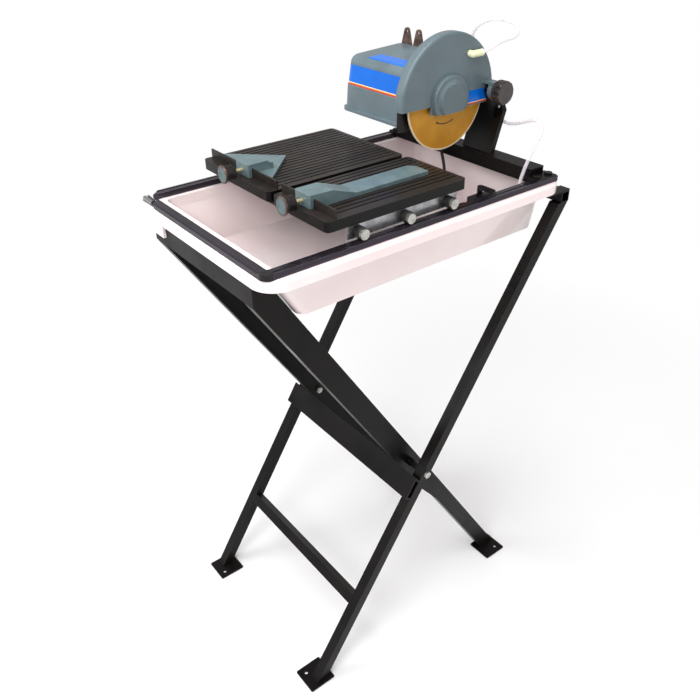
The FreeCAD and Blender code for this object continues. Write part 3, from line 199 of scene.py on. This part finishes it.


# %% [markdown]
# Paint and plating wear first where two faces meet. On the rails and the head covers the same pale edge
# also stands in as a painted highlight along their rounded edges. A Bevel node bends the surface's
# direction near an edge, so the angle between that and the true direction marks the edges. Vertex paint
# would do it too, but the CAD meshes have few vertices, and they are never changed. Clouds break the
# mark up, because wear is patchy.

# %% Edge wear and painted edge highlight
def worn_and_highlit_edges(tree, width):
    bent = node(tree, "ShaderNodeBevel", {"Radius": width}, samples=4).outputs["Normal"]
    true = node(tree, "ShaderNodeNewGeometry").outputs["True Normal"]
    near = node(tree, "ShaderNodeVectorMath", {0: bent, 1: true}, operation="DOT_PRODUCT").outputs["Value"]
    edge = spread(tree, near, 1.0, 0.0, 0.78, 0.97)
    patchy = spread(tree, clouds(tree, 0.03), 0.15, 1.0, 0.4, 0.6)
    return node(tree, "ShaderNodeMath", {0: edge, 1: patchy}, operation="MULTIPLY").outputs[0]


# %% [markdown]
# Most finishes have the same build: a colour that drifts a little, a gloss that drifts with it, a
# fine skin such as orange peel or cast grain, and bright or pale edges. One helper makes that build,
# and each finish then says only what is its own.

# %% The common build of a finish
def finish(name, colour, drift, gloss, grain, bump, blotch=0.05, edge_wear_and_highlight=None, edge=0.001,
           metal=0.0, coat=0.0, shine=0.5, stretch=(1, 1, 1)):
    made = bpy.data.materials.new(name)
    made.use_nodes = True
    tree = made.node_tree
    shader = tree.nodes["Principled BSDF"]
    cloud = clouds(tree, blotch, stretch)
    tone = mix_colours(tree, spread(tree, cloud, 0, 1), colour, drift)
    if edge_wear_and_highlight:
        tone = mix_colours(tree, worn_and_highlit_edges(tree, edge), tone, edge_wear_and_highlight)
    skin = clouds(tree, grain, stretch, 2.0)
    lift = node(tree, "ShaderNodeBump", {"Height": skin, "Distance": bump, "Strength": 0.5})
    tree.links.new(tone, shader.inputs["Base Color"])
    tree.links.new(spread(tree, cloud, *gloss), shader.inputs["Roughness"])
    tree.links.new(lift.outputs["Normal"], shader.inputs["Normal"])
    shader.inputs["Metallic"].default_value = metal
    shader.inputs["Coat Weight"].default_value = coat
    shader.inputs["Specular IOR Level"].default_value = shine
    return made


def make_finishes(table):
    """Every finish in a table, with its colours made linear."""
    made = {}
    for name, look in table.items():
        colours = {key: screen(*look[key]) for key in ("colour", "drift", "edge_wear_and_highlight") if key in look}
        made[name] = finish(name, **{**look, **colours})
    return made


# %% [markdown]
# The floor is one large sheet of mesh that belongs to the studio. Near the saw it is pale paint that
# takes soft contact shadows. Further out it glows white, so it meets the white air with no line between
# them, as a paper sweep does. A curved sweep of mesh would need light of its own to do the same.

# %% Floor
paint_ends, glow_starts = 0.45, 1.7


def floor_finish():
    made = finish("floor_paint", (0.93, 0.93, 0.93), (0.9, 0.9, 0.9), gloss=(0.8, 0.9), grain=0.02,
                  bump=0.0002, blotch=0.8)
    tree = made.node_tree
    flat = place_on_object(tree, (1, 1, 0))
    distance = node(tree, "ShaderNodeVectorMath", {0: flat}, operation="LENGTH").outputs["Value"]
    far = spread(tree, distance, 0, 1, paint_ends, glow_starts)
    glow = node(tree, "ShaderNodeEmission", {"Color": (1, 1, 1, 1), "Strength": 1.0}).outputs[0]
    paint = tree.nodes["Principled BSDF"].outputs[0]
    both = node(tree, "ShaderNodeMixShader", {0: far, 1: paint, 2: glow}).outputs[0]
    tree.links.new(both, tree.nodes["Material Output"].inputs["Surface"])
    return made


def studio_floor():
    sheet = bmesh.new()
    bmesh.ops.create_grid(sheet, x_segments=8, y_segments=8, size=14.0)
    bmesh.ops.translate(sheet, verts=sheet.verts, vec=(0, 0, -0.0006))
    mesh = bpy.data.meshes.new("floor")
    sheet.to_mesh(mesh)
    sheet.free()
    floor = bpy.data.objects.new("floor", mesh)
    mesh.materials.append(floor_finish())
    bpy.context.scene.collection.objects.link(floor)
    return floor


print("floor:", studio_floor().name)

# %% [markdown]
# The stand is folded from steel and powder coated black. Up close the coat has an orange peel skin,
# a warm brown that is a painted sheen of the warm side light, laid in random blotches, and corners
# rubbed grey. The pan is moulded or enamelled white with a hint of rose in the shade.

# %% Paint finishes
paints = make_finishes({
    # The warm brown drift of the black paint is a painted sheen of the warm side light, laid in random
    # blotches; its grey edges are rubbed paint.
    "black_paint": dict(
        colour=(9, 8, 8), drift=(18, 15, 14), edge_wear_and_highlight=(54, 48, 44), gloss=(0.3, 0.46), grain=0.0012,
        bump=0.00012, blotch=0.09, edge=0.0009, shine=0.15),
    # The rails are black: their purple-grey colour, streaked along the rail, is a painted sheen of the white
    # air, and their pale edge is partly wear and partly a painted highlight along the top ridge.
    "rail_black": dict(
        colour=(64, 58, 68), drift=(46, 42, 50), edge_wear_and_highlight=(168, 160, 168), gloss=(0.1, 0.24),
        grain=0.002, bump=0.00004, blotch=0.12, edge=0.0008, metal=0.75, stretch=(1, 0.15, 1)),
    "pan_white": dict(
        colour=(247, 236, 235), drift=(242, 224, 224), edge_wear_and_highlight=(252, 247, 244), gloss=(0.12, 0.26),
        grain=0.006, bump=0.00006, blotch=0.16, edge=0.002, coat=0.6),
    # The pale edges of the head covers are partly rubbed paint and partly a painted highlight along their
    # rounded rims.
    "head_grey": dict(
        colour=(82, 97, 103), drift=(92, 108, 114), edge_wear_and_highlight=(140, 154, 160), gloss=(0.34, 0.5),
        grain=0.0011, bump=0.00014, blotch=0.05, edge=0.0014, coat=0.1),
    "guide_grey": dict(
        colour=(80, 99, 103), drift=(93, 113, 116), edge_wear_and_highlight=(150, 170, 170), gloss=(0.3, 0.44),
        grain=0.0009, bump=0.00014, blotch=0.02, edge=0.001, coat=0.1),
})
print("paints:", ", ".join(paints))

# %% [markdown]
# The metals differ in grain. Zinc is cloudy, the browned lugs are dark and blotched, turned steel
# has a tight grain, and brass is warm. A metal takes its colour from what it mirrors, so its base
# colour is pale and its gloss does most of the work.

# %% Metal finishes
metals = make_finishes({
    "zinc": dict(
        colour=(198, 198, 192), drift=(168, 166, 160), edge_wear_and_highlight=(228, 228, 224), gloss=(0.2, 0.4),
        grain=0.0008, bump=0.00003, blotch=0.006, edge=0.0005, metal=0.9),
    "brown_steel": dict(
        colour=(104, 84, 76), drift=(66, 50, 46), edge_wear_and_highlight=(168, 150, 140), gloss=(0.32, 0.55),
        grain=0.0012, bump=0.00006, blotch=0.009, edge=0.0009, metal=0.6),
    "steel": dict(
        colour=(176, 176, 178), drift=(150, 150, 154), edge_wear_and_highlight=(214, 214, 216), gloss=(0.2, 0.36),
        grain=0.0006, bump=0.00002, blotch=0.02, edge=0.0006, metal=0.95, stretch=(6, 1, 1)),
    "brass": dict(
        colour=(214, 206, 170), drift=(186, 172, 128), edge_wear_and_highlight=(236, 230, 206), gloss=(0.24, 0.4),
        grain=0.0006, bump=0.00002, blotch=0.008, edge=0.0005, metal=0.7),
})
print("metals:", ", ".join(metals))

# %% [markdown]
# Knobs, rollers, the pump and the lead are plastics and rubber. Their gloss is broken by a fine
# moulded skin, and their edges are only a little paler, because the colour goes all the way through.

# %% Plastic and rubber finishes
plastics = make_finishes({
    "black_plastic": dict(
        colour=(16, 14, 14), drift=(27, 23, 23), edge_wear_and_highlight=(72, 64, 62), gloss=(0.3, 0.46), grain=0.0009,
        bump=0.00008, blotch=0.02, edge=0.0008, shine=0.35),
    "roller_black": dict(
        colour=(24, 23, 24), drift=(34, 32, 32), gloss=(0.35, 0.5), grain=0.0008, bump=0.00005,
        blotch=0.02),
    "pump_black": dict(
        colour=(14, 13, 15), drift=(24, 22, 25), edge_wear_and_highlight=(60, 56, 60), gloss=(0.26, 0.4), grain=0.001,
        bump=0.00008, blotch=0.03, edge=0.0009, shine=0.4),
    "lead_rubber": dict(
        colour=(20, 20, 20), drift=(32, 31, 31), gloss=(0.42, 0.58), grain=0.0009, bump=0.00004,
        blotch=0.02),
    "knob_face": dict(
        colour=(74, 94, 98), drift=(90, 111, 114), edge_wear_and_highlight=(140, 158, 158), gloss=(0.26, 0.4),
        grain=0.001, bump=0.00008, blotch=0.008, edge=0.0008),
    "knob_brown": dict(
        colour=(38, 33, 32), drift=(54, 47, 45), edge_wear_and_highlight=(120, 110, 106), gloss=(0.2, 0.34),
        grain=0.0012, bump=0.00008, blotch=0.012, edge=0.0009, coat=0.15),
    "elbow_white": dict(
        colour=(240, 240, 206), drift=(226, 226, 178), edge_wear_and_highlight=(250, 250, 236), gloss=(0.2, 0.34),
        grain=0.002, bump=0.00004, blotch=0.008, edge=0.0008, coat=0.3),
})
print("plastics:", ", ".join(plastics))

# %% [markdown]
# The table is cast and black. The tops of its ribs are painted a warm grey in patches as the sheen of
# light on them, while the grooves keep their black, so the height above the bottom of the grooves
# mixes the two. A texture could carry that, but the height is already in the Object coordinates.

# %% Table finish
def table_finish():
    made = finish("table_black", screen(8, 8, 8), screen(15, 14, 13), gloss=(0.3, 0.44), grain=0.001,
                  bump=0.0001, edge_wear_and_highlight=screen(76, 70, 62), edge=0.0007, shine=0.2)
    tree = made.node_tree
    shader = tree.nodes["Principled BSDF"]
    dark = shader.inputs["Base Color"].links[0].from_socket
    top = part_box("table_left")[1].z
    where = node(tree, "ShaderNodeSeparateXYZ", {0: place_on_object(tree)})
    # The paler rib tops are a painted sheen of light on the ribs, broken into patches.
    sheen_from, sheen_to = top - 0.0009, top - 0.0003
    rib_sheen = spread(tree, where.outputs["Z"], 0, 1, sheen_from, sheen_to)
    sheen_patches = spread(tree, clouds(tree, 0.03, (1, 0.12, 1)), 0.35, 1.0, 0.3, 0.7)
    share = node(tree, "ShaderNodeMath", {0: rib_sheen, 1: sheen_patches}, operation="MULTIPLY").outputs[0]
    tree.links.new(mix_colours(tree, share, dark, screen(44, 39, 36)), shader.inputs["Base Color"])
    return made


plastics["table_black"] = table_finish()
print("table:", plastics["table_black"].name)

# %% [markdown]
# The blade is a steel disc with a gold lacquer and a pale rim of diamond grit. Rings of fine
# scratches run round its middle, so the pattern reads the distance from the arbor. The rim could be
# a ring of its own, but on a saw blade it is flush, and a change of colour is all that shows.

# %% Blade finish
def blade_finish():
    low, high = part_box("blade")
    centre = (low + high) / 2
    reach = (high.z - low.z) / 2
    made = finish("blade_gold", screen(196, 138, 28), screen(182, 124, 20), gloss=(0.34, 0.46),
                  grain=0.0008, bump=0.00002, blotch=0.03, metal=0.3)
    tree = made.node_tree
    shader = tree.nodes["Principled BSDF"]
    lacquer = shader.inputs["Base Color"].links[0].from_socket
    flat = place_on_object(tree, (0, 1, 1), centre)
    distance = node(tree, "ShaderNodeVectorMath", {0: flat}, operation="LENGTH").outputs["Value"]
    scratches = {"Vector": flat, "Scale": 420.0, "Distortion": 3.0, "Detail": 2.0}
    rings = node(tree, "ShaderNodeTexWave", scratches, wave_type="RINGS", rings_direction="X").outputs["Fac"]
    toned = mix_colours(tree, spread(tree, rings, 0.0, 0.3, 0.0, 1.0), lacquer, screen(206, 150, 44))
    grit_from, grit_to = reach - 0.0029, reach - 0.0024
    grit = spread(tree, distance, 0, 1, grit_from, grit_to)
    tree.links.new(mix_colours(tree, grit, toned, screen(224, 206, 178)), shader.inputs["Base Color"])
    return made


metals["blade_gold"] = blade_finish()
print("blade:", metals["blade_gold"].name)

# %% [markdown]
# The water hose is clear vinyl. Real glass settings on a solid rod turn dark, because a real hose is
# hollow, so the finish lets most light straight through and keeps a pale lilac body and a clean
# gloss.

# %% Clear hose finish
def clear_finish(name, colour, drift, alpha):
    made = finish(name, colour, drift, gloss=(0.08, 0.2), grain=0.004, bump=0.00003, blotch=0.02)
    shader = made.node_tree.nodes["Principled BSDF"]
    shader.inputs["Alpha"].default_value = alpha
    shader.inputs["IOR"].default_value = 1.4
    made.surface_render_method = "DITHERED"
    return made


plastics["hose_clear"] = clear_finish("hose_clear", screen(232, 224, 232), screen(242, 236, 242), 0.5)
print("hose:", plastics["hose_clear"].name)

# %% [markdown]
# Every CAD part names the finish it was drawn for, so one pass over the record dresses them all.
# Nothing is left with the grey that it was loaded with. The lock knob is a browner plastic than the
# others, so it is dressed again at the end.

# %% Dress the CAD parts
finishes = {**paints, **metals, **plastics}
slot_of_part = {p["node"]: p["material_slot"] for p in record["subparts"]}
for name, part in parts.items():
    part.data.materials.clear()
    part.data.materials.append(finishes[slot_of_part[name]])
parts["lock_knob"].data.materials[0] = finishes["knob_brown"]
print("dressed:", len(parts), "parts in", len(finishes), "finishes")

# %% [markdown]
# New pieces are kept in one place by a small helper: it turns a finished bmesh into an object at the
# origin, gives it a finish, smooths it where it is round, and lets it ride on its body.

# %% Helper for new pieces
sharp_angle = math.radians(35)


def keep_piece(name, shape, looks, body):
    mesh = bpy.data.meshes.new(name)
    shape.to_mesh(mesh)
    shape.free()
    for look in looks:
        mesh.materials.append(look)
    piece = bpy.data.objects.new(name, mesh)
    bpy.context.scene.collection.objects.link(piece)
    mesh.shade_smooth()
    mesh.set_sharp_from_angle(angle=sharp_angle)
    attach(piece, body)
    print(name, "faces:", len(mesh.polygons))
    return piece


# %% [markdown]
# The hose runs from the pump's spout, up past the right rail, behind the post and over the top to the
# elbow on the guard. The pump's lead crosses the pan and goes up to the motor. Each route is a list
# of points in metres, close enough together that nothing has to be guessed between them.

# %% Routes
lower_hose_points = [
    (0.136, 0.221, 0.884), (0.151, 0.222, 0.886), (0.160, 0.225, 0.897), (0.163, 0.229, 0.914),
    (0.163, 0.233, 0.940), (0.168, 0.236, 0.972), (0.177, 0.241, 1.006), (0.186, 0.245, 1.032),
    (0.1895, 0.247, 1.046), (0.182, 0.2505, 1.0575), (0.167, 0.256, 1.0585), (0.146, 0.263, 1.051),
    (0.120, 0.274, 1.040), (0.094, 0.288, 1.030), (0.068, 0.300, 1.022), (0.043, 0.306, 1.024),
    (0.023, 0.306, 1.041), (0.013, 0.303, 1.064), (0.006, 0.294, 1.087), (0.0, 0.286, 1.112),
    (-0.006, 0.277, 1.136), (-0.008, 0.268, 1.158), (0.0, 0.263, 1.179), (0.017, 0.263, 1.193),
    (0.035, 0.264, 1.201), (0.051, 0.265, 1.204), (0.066, 0.265, 1.204),
]
upper_hose_points = [
    (0.066, 0.265, 1.204), (0.080, 0.265, 1.204), (0.093, 0.265, 1.201), (0.102, 0.265, 1.192),
    (0.098, 0.265, 1.182), (0.086, 0.266, 1.177), (0.071, 0.267, 1.172), (0.059, 0.264, 1.165),
    (0.051, 0.254, 1.157), (0.049, 0.237, 1.153),
]
lead_points = [
    (0.072, 0.215, 0.885), (0.058, 0.213, 0.884), (0.038, 0.206, 0.876), (0.014, 0.206, 0.874),
    (-0.006, 0.218, 0.890), (-0.020, 0.232, 0.922), (-0.038, 0.238, 0.955), (-0.052, 0.2385, 0.990),
    (-0.060, 0.238, 1.018), (-0.060, 0.238, 1.040),
]


print("route points:", len(lower_hose_points), len(upper_hose_points), len(lead_points))

# %% [markdown]
# A NURBS curve led by a route's points gives a smooth bend, and its bevel depth gives it a round
# section. A tube of mesh could be extruded step by step, but a curve keeps the real length and
# stays easy to edit.

# %% Curves along the routes
def smooth_route(name, points, radius=0.0):
    """A NURBS curve through the route, as thick as the cord, or a bare line if radius is 0."""
    line = bpy.data.curves.new(name, "CURVE")
    line.dimensions = "3D"
    line.resolution_u = 8
    line.bevel_depth = radius
    line.bevel_resolution = 4
    line.use_fill_caps = radius > 0
    run = line.splines.new("NURBS")
    run.points.add(len(points) - 1)
    for point, place in zip(run.points, points):
        point.co = (*place, 1)
    run.order_u = 3
    run.use_endpoint_u = True
    cord = bpy.data.objects.new(name, line)
    bpy.context.scene.collection.objects.link(cord)
    bpy.context.view_layer.update()
    return cord


def route_length(points):
    return sum((Vector(b) - Vector(a)).length for a, b in zip(points, points[1:]))


def points_along(points):
    """The smooth line's own points, read from a bare copy of the curve."""
    bare = smooth_route("bare_line", points)
    mesh = bpy.data.meshes.new_from_object(bare.evaluated_get(bpy.context.evaluated_depsgraph_get()))
    line = [vertex.co.copy() for vertex in mesh.vertices]
    bpy.data.objects.remove(bare)
    bpy.data.meshes.remove(mesh)
    return line


routes = {"lower hose": lower_hose_points, "upper hose": upper_hose_points, "lead": lead_points}
for label, points in routes.items():
    print(label, "length", round(route_length(points_along(points)), 4))

# %% [markdown]
# The lower run stands on the pan and ends on the tilting head. It is turned from a curve into a mesh
# tube. The upper run sits on the head alone and stays a curve, and so does the lead.

# %% Hoses and lead
hose_radius = 0.0032
lead_radius = 0.003


def lower_hose():
    curve = smooth_route("hose_curve", lower_hose_points, hose_radius)
    mesh = bpy.data.meshes.new_from_object(curve.evaluated_get(bpy.context.evaluated_depsgraph_get()))
    bpy.data.objects.remove(curve)
    mesh.name = "clear_hose_lower"
    mesh.materials.clear()
    mesh.materials.append(finishes["hose_clear"])
    tube = bpy.data.objects.new("clear_hose_lower", mesh)
    bpy.context.scene.collection.objects.link(tube)
    mesh.shade_smooth()
    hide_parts("water_hose_lower")
    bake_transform(tube)
    line = points_along(lower_hose_points)
    return tube


def curve_cord(name, points, radius, look, body, node_name):
    cord = smooth_route(name, points, radius)
    cord.data.materials.append(finishes[look])
    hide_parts(node_name)
    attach(cord, body)
    route_length(points_along(points))
    return cord


hose_below = lower_hose()
hose_above = curve_cord("clear_hose_upper", upper_hose_points, hose_radius, "hose_clear", "head",
                        "water_hose_upper")
print("hoses:", hose_below.name, hose_above.name)

# %% [markdown]
# Where the lead leaves the pump it goes through a ribbed rubber sleeve, which stops it from kinking.
# The sleeve follows the lead's first bend, so it is made on the same line: a short curve whose
# radius falls from rib to rib.

# %% Strain relief and lead
sleeve_length = 0.026


def lead_sleeve():
    line = points_along(lead_points)
    walked = 0.0
    kept = [line[0]]
    for a, b in zip(line, line[1:]):
        walked += (b - a).length
        if walked > sleeve_length:
            break
        kept.append(b)
    sleeve = smooth_route("lead_sleeve", kept, 0.001)
    sleeve.data.splines[0].order_u = 2
    for i, point in enumerate(sleeve.data.splines[0].points):
        share = i / (len(kept) - 1)
        point.radius = 6.0 - 2.0 * share - (0.5 if i % 2 else 0.0)
    sleeve.data.materials.append(finishes["lead_rubber"])
    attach(sleeve, "saw_base")
    return sleeve


sleeve = lead_sleeve()
pump_cable = curve_cord("pump_cable", lead_points, lead_radius, "lead_rubber", "saw_base",
                        "pump_lead")
print("lead and sleeve:", pump_cable.name, sleeve.name)

# %% [markdown]
# The saw's decals are printed bands on thin vinyl: blue with warm stripes along the bottom. A decal
# has to lie on the cover, round its corner too. So each one starts as a flat grid in front of the
# cover, and every point of it is sent along a straight ray until it meets the surface. The band on
# the real saw carries a maker's name, and this one is left plain.

# %% A decal laid by rays
from mathutils.bvhtree import BVHTree


def decal(name, part, first, across, up, steps, body, look, ray):
    """A sheet from corner first along across and up, laid on part by rays."""
    surface = BVHTree.FromObject(parts[part], bpy.context.evaluated_depsgraph_get())
    sheet = bmesh.new()
    bmesh.ops.create_grid(sheet, x_segments=steps[0], y_segments=steps[1], size=0.5)
    ray = Vector(ray).normalized()
    lost = []
    for point in sheet.verts:
        start = Vector(first) + Vector(across) * (point.co.x + 0.5) + Vector(up) * (point.co.y + 0.5)
        hit = surface.ray_cast(start, ray, 0.2)[0]
        if hit is None:
            lost.append(point)
        else:
            point.co = hit - ray * 0.00025
    bmesh.ops.delete(sheet, geom=lost, context="VERTS")
    bmesh.ops.recalc_face_normals(sheet, faces=sheet.faces)
    if sum(face.normal.dot(ray) for face in sheet.faces) > 0:
        bmesh.ops.reverse_faces(sheet, faces=sheet.faces)
    return keep_piece(name, sheet, [look], body)


# %% [markdown]
# The print is one colour up the band, except for three stripes near its bottom. A colour ramp that
# reads the height gives them hard edges. Three thin strips of mesh would do too, but they would
# flicker against the band they lie on.

# %% Band print
def band_finish(name, bottom, top):
    """Blue print with red, orange and pale yellow stripes in its lowest seventh."""
    made = finish(name, screen(4, 96, 196), screen(10, 104, 204), gloss=(0.16, 0.28), grain=0.001,
                  bump=0.00001, blotch=0.04, coat=0.1, shine=0.2)
    tree = made.node_tree
    shader = tree.nodes["Principled BSDF"]
    blue = shader.inputs["Base Color"].links[0].from_socket
    height = node(tree, "ShaderNodeSeparateXYZ", {0: place_on_object(tree)}).outputs["Z"]
    level = spread(tree, height, 0, 1, bottom, top)
    stripes = node(tree, "ShaderNodeValToRGB", {"Fac": level})
    ramp = stripes.color_ramp
    ramp.interpolation = "CONSTANT"
    ramp.elements[0].color = (*screen(196, 44, 30), 1)
    ramp.elements[1].position = 0.055
    ramp.elements[1].color = (*screen(232, 120, 36), 1)
    yellow = ramp.elements.new(0.10)
    yellow.color = (*screen(246, 226, 160), 1)
    printed = node(tree, "ShaderNodeMath", {0: level, 1: 0.135}, operation="GREATER_THAN").outputs[0]
    tree.links.new(mix_colours(tree, printed, stripes.outputs["Color"], blue), shader.inputs["Base Color"])
    return made


# %% [markdown]
# One band runs round the motor's front, a small one sits on the guard's right face, and a plain one
# lies on top of the motor. Each is placed from the box of the cover it lies on.

# %% Bands on the covers
cover_low, cover_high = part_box("motor_cover_upper")
band_bottom = cover_low.z + 0.0012
band_top = cover_high.z - 0.0215
band_length = 0.1785
decal("motor_band", "motor_cover_upper", (cover_low.x + 0.002, cover_low.y - 0.05, band_bottom),
      (band_length, 0, 0), (0, 0, band_top - band_bottom), (98, 28), "head",
      band_finish("motor_band_print", band_bottom, band_top), (0, 1, 0))

right_of_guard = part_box("blade_guard")[1].x + 0.02
small_bottom, small_top = 1.0660, 1.0895
decal("guard_band", "blade_guard", (right_of_guard, 0.2165, small_bottom), (0, 0.0585, 0),
      (0, 0, small_top - small_bottom), (30, 16), "head",
      band_finish("guard_band_print", small_bottom, small_top), (-1, 0, 0))

above_cover = cover_high.z + 0.03
decal("top_band", "motor_cover_upper", (-0.108, 0.110, above_cover), (0.108, 0, 0), (0, 0.030, 0),
      (60, 20), "head", band_finish("top_band_print", 0.9, 0.91), (0, 0, -1))

# %% [markdown]
# An arrow on the blade shows which way it turns. It is a printed arc, so an edge is spun part of the
# way round the arbor to sweep a strip, and a small triangle makes the head. A curve with a width
# would do the same, but it would have to be turned into a mesh before it could ride on the blade.

# %% Blade arrow
arrow_radius, arrow_width, arrow_head = 0.0439, 0.0020, 0.0034
arrow_start, arrow_sweep = math.radians(-116), math.radians(52)


def blade_arrow():
    low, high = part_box("blade")
    centre = (low + high) / 2
    face = high.x - 0.00018
    outward = Vector((0, math.cos(arrow_start), math.sin(arrow_start)))
    foot = Vector((face, centre.y, centre.z))
    ink = finish("arrow_ink", screen(28, 20, 12), screen(40, 28, 16), gloss=(0.4, 0.5), grain=0.001,
                 bump=0.00001, blotch=0.01)
    arc = bmesh.new()
    radii = (arrow_radius - arrow_width / 2, arrow_radius + arrow_width / 2)
    edge = [arc.verts.new(foot + outward * radius) for radius in radii]
    line = arc.edges.new(edge)
    bmesh.ops.spin(arc, geom=[*edge, line], cent=centre, axis=(1, 0, 0), angle=arrow_sweep, steps=26)
    head = bmesh.ops.create_circle(arc, cap_ends=True, segments=3, radius=arrow_head)["verts"]
    stand = Matrix.Rotation(math.radians(90), 3, "Y")
    along = Matrix.Rotation(arrow_start - math.radians(20), 3, "X")
    bmesh.ops.rotate(arc, verts=head, cent=(0, 0, 0), matrix=stand)
    bmesh.ops.rotate(arc, verts=head, cent=(0, 0, 0), matrix=along)
    bmesh.ops.translate(arc, verts=head, vec=foot + outward * arrow_radius)
    bmesh.ops.recalc_face_normals(arc, faces=arc.faces)
    for flat in arc.faces:
        if flat.normal.x < 0:
            flat.normal_flip()
    return keep_piece("blade_arrow", arc, [ink], "blade")


blade_arrow()

# %% [markdown]
# A small zinc screw with a domed head sits near the post's top right corner. It is a turned part, so
# half of its outline is spun once round its own axis. The post leans, so the finished screw is
# turned to stand square on its face. A squashed sphere would be quicker, but it has no rim.

# %% Spin and post screw
def turned_shape(shape, outline, centre, axis, steps):
    """An open outline spun right round its axis, with its seam and its poles closed."""
    runs = [shape.edges.new(pair) for pair in zip(outline, outline[1:])]
    bmesh.ops.spin(shape, geom=[*outline, *runs], cent=centre, axis=axis, angle=2 * math.pi,
                   steps=steps, use_merge=True)
    bmesh.ops.remove_doubles(shape, verts=shape.verts, dist=0.00001)
    bmesh.ops.recalc_face_normals(shape, faces=shape.faces)


screw_inset, screw_height = 0.0115, 1.0545


def post_screw():
    low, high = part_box("tilt_post")
    surface = BVHTree.FromObject(parts["tilt_post"], bpy.context.evaluated_depsgraph_get())
    aim = Vector((high.x - screw_inset, low.y - 0.05, screw_height))
    seat, out = surface.ray_cast(aim, Vector((0, 1, 0)), 0.3)[:2]
    outline = [(0.0, 0.0015), (0.0012, 0.00145), (0.0022, 0.0011), (0.0028, 0.0005), (0.0029, -0.0002)]
    screw = bmesh.new()
    ring = [screw.verts.new((radius, 0, height)) for radius, height in outline]
    turned_shape(screw, ring, (0, 0, 0), (0, 0, 1), 24)
    stand = Matrix.Translation(seat) @ out.to_track_quat("Z", "Y").to_matrix().to_4x4()
    bmesh.ops.transform(screw, matrix=stand, verts=screw.verts)
    return keep_piece("post_screw", screw, [finishes["zinc"]], "saw_base")


post_screw()

# %% [markdown]
# Each guide is held by a hand screw: a wide painted face in front of a dark fluted grip. Seen from
# the side, the half outline goes from the middle of the face over the rim, in to the neck and along
# the grip to its back.

# %% Outline of a guide knob
rim_over_grip = 0.0022
face_depth = 0.0042


def knob_outline(rim, front, back):
    """(radius, y) from the middle of the face round to the middle of the back."""
    grip, neck = rim - rim_over_grip, front + face_depth
    return [
        (0.0, front + 0.0006), (rim * 0.55, front + 0.0005), (rim - 0.0024, front + 0.0003),
        (rim - 0.0012, front), (rim - 0.0003, front + 0.0006), (rim, front + 0.0016),
        (rim, neck - 0.0008), (rim - 0.0008, neck), (grip - 0.0006, neck + 0.0006),
        (grip, neck + 0.0014), (grip, neck + 0.0052), (grip - 0.0006, back - 0.003),
        (grip - 0.0030, back - 0.0008), (grip - 0.0050, back), (0.0, back),
    ]


print("outline points:", len(knob_outline(0.01, 0.0, 0.02)))

# %% [markdown]
# The outline is spun right round the knob's axis, and then every second face of the grip is inset
# and pushed in to make the flutes. A Displace texture would look softer than cut plastic.

# %% Guide knobs
knob_steps = 48


def guide_hand_knob(name, part, body):
    low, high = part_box(part)
    x, z = (low.x + high.x) / 2, (low.z + high.z) / 2
    rim = (high.x - low.x) / 2
    grip, neck = rim - rim_over_grip, low.y + face_depth
    knob = bmesh.new()
    ring = [knob.verts.new((x + radius, y, z)) for radius, y in knob_outline(rim, low.y, high.y)]
    turned_shape(knob, ring, (x, 0, z), (0, 1, 0), knob_steps)
    flutes = []
    for face in knob.faces:
        middle = face.calc_center_median()
        reach = math.hypot(middle.x - x, middle.z - z)
        turn = math.atan2(middle.z - z, middle.x - x)
        if middle.y > neck:
            face.material_index = 1
            step = int((turn / math.pi + 1) * knob_steps / 2)
            if abs(face.normal.y) < 0.6 and reach > grip * 0.9 and step % 2:
                flutes.append(face)
        elif reach > rim - 0.0026:
            face.material_index = 2
    bmesh.ops.inset_individual(knob, faces=flutes, thickness=0.00015, depth=-0.0007)
    looks = [finishes["knob_face"], finishes["black_plastic"], finishes["brown_steel"]]
    piece = keep_piece(name, knob, looks, body)
    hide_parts(part)
    return piece


guide_hand_knob("rip_hand_knob", "rip_knob", "rip_knob")
guide_hand_knob("mitre_hand_knob", "mitre_knob", "mitre_knob")
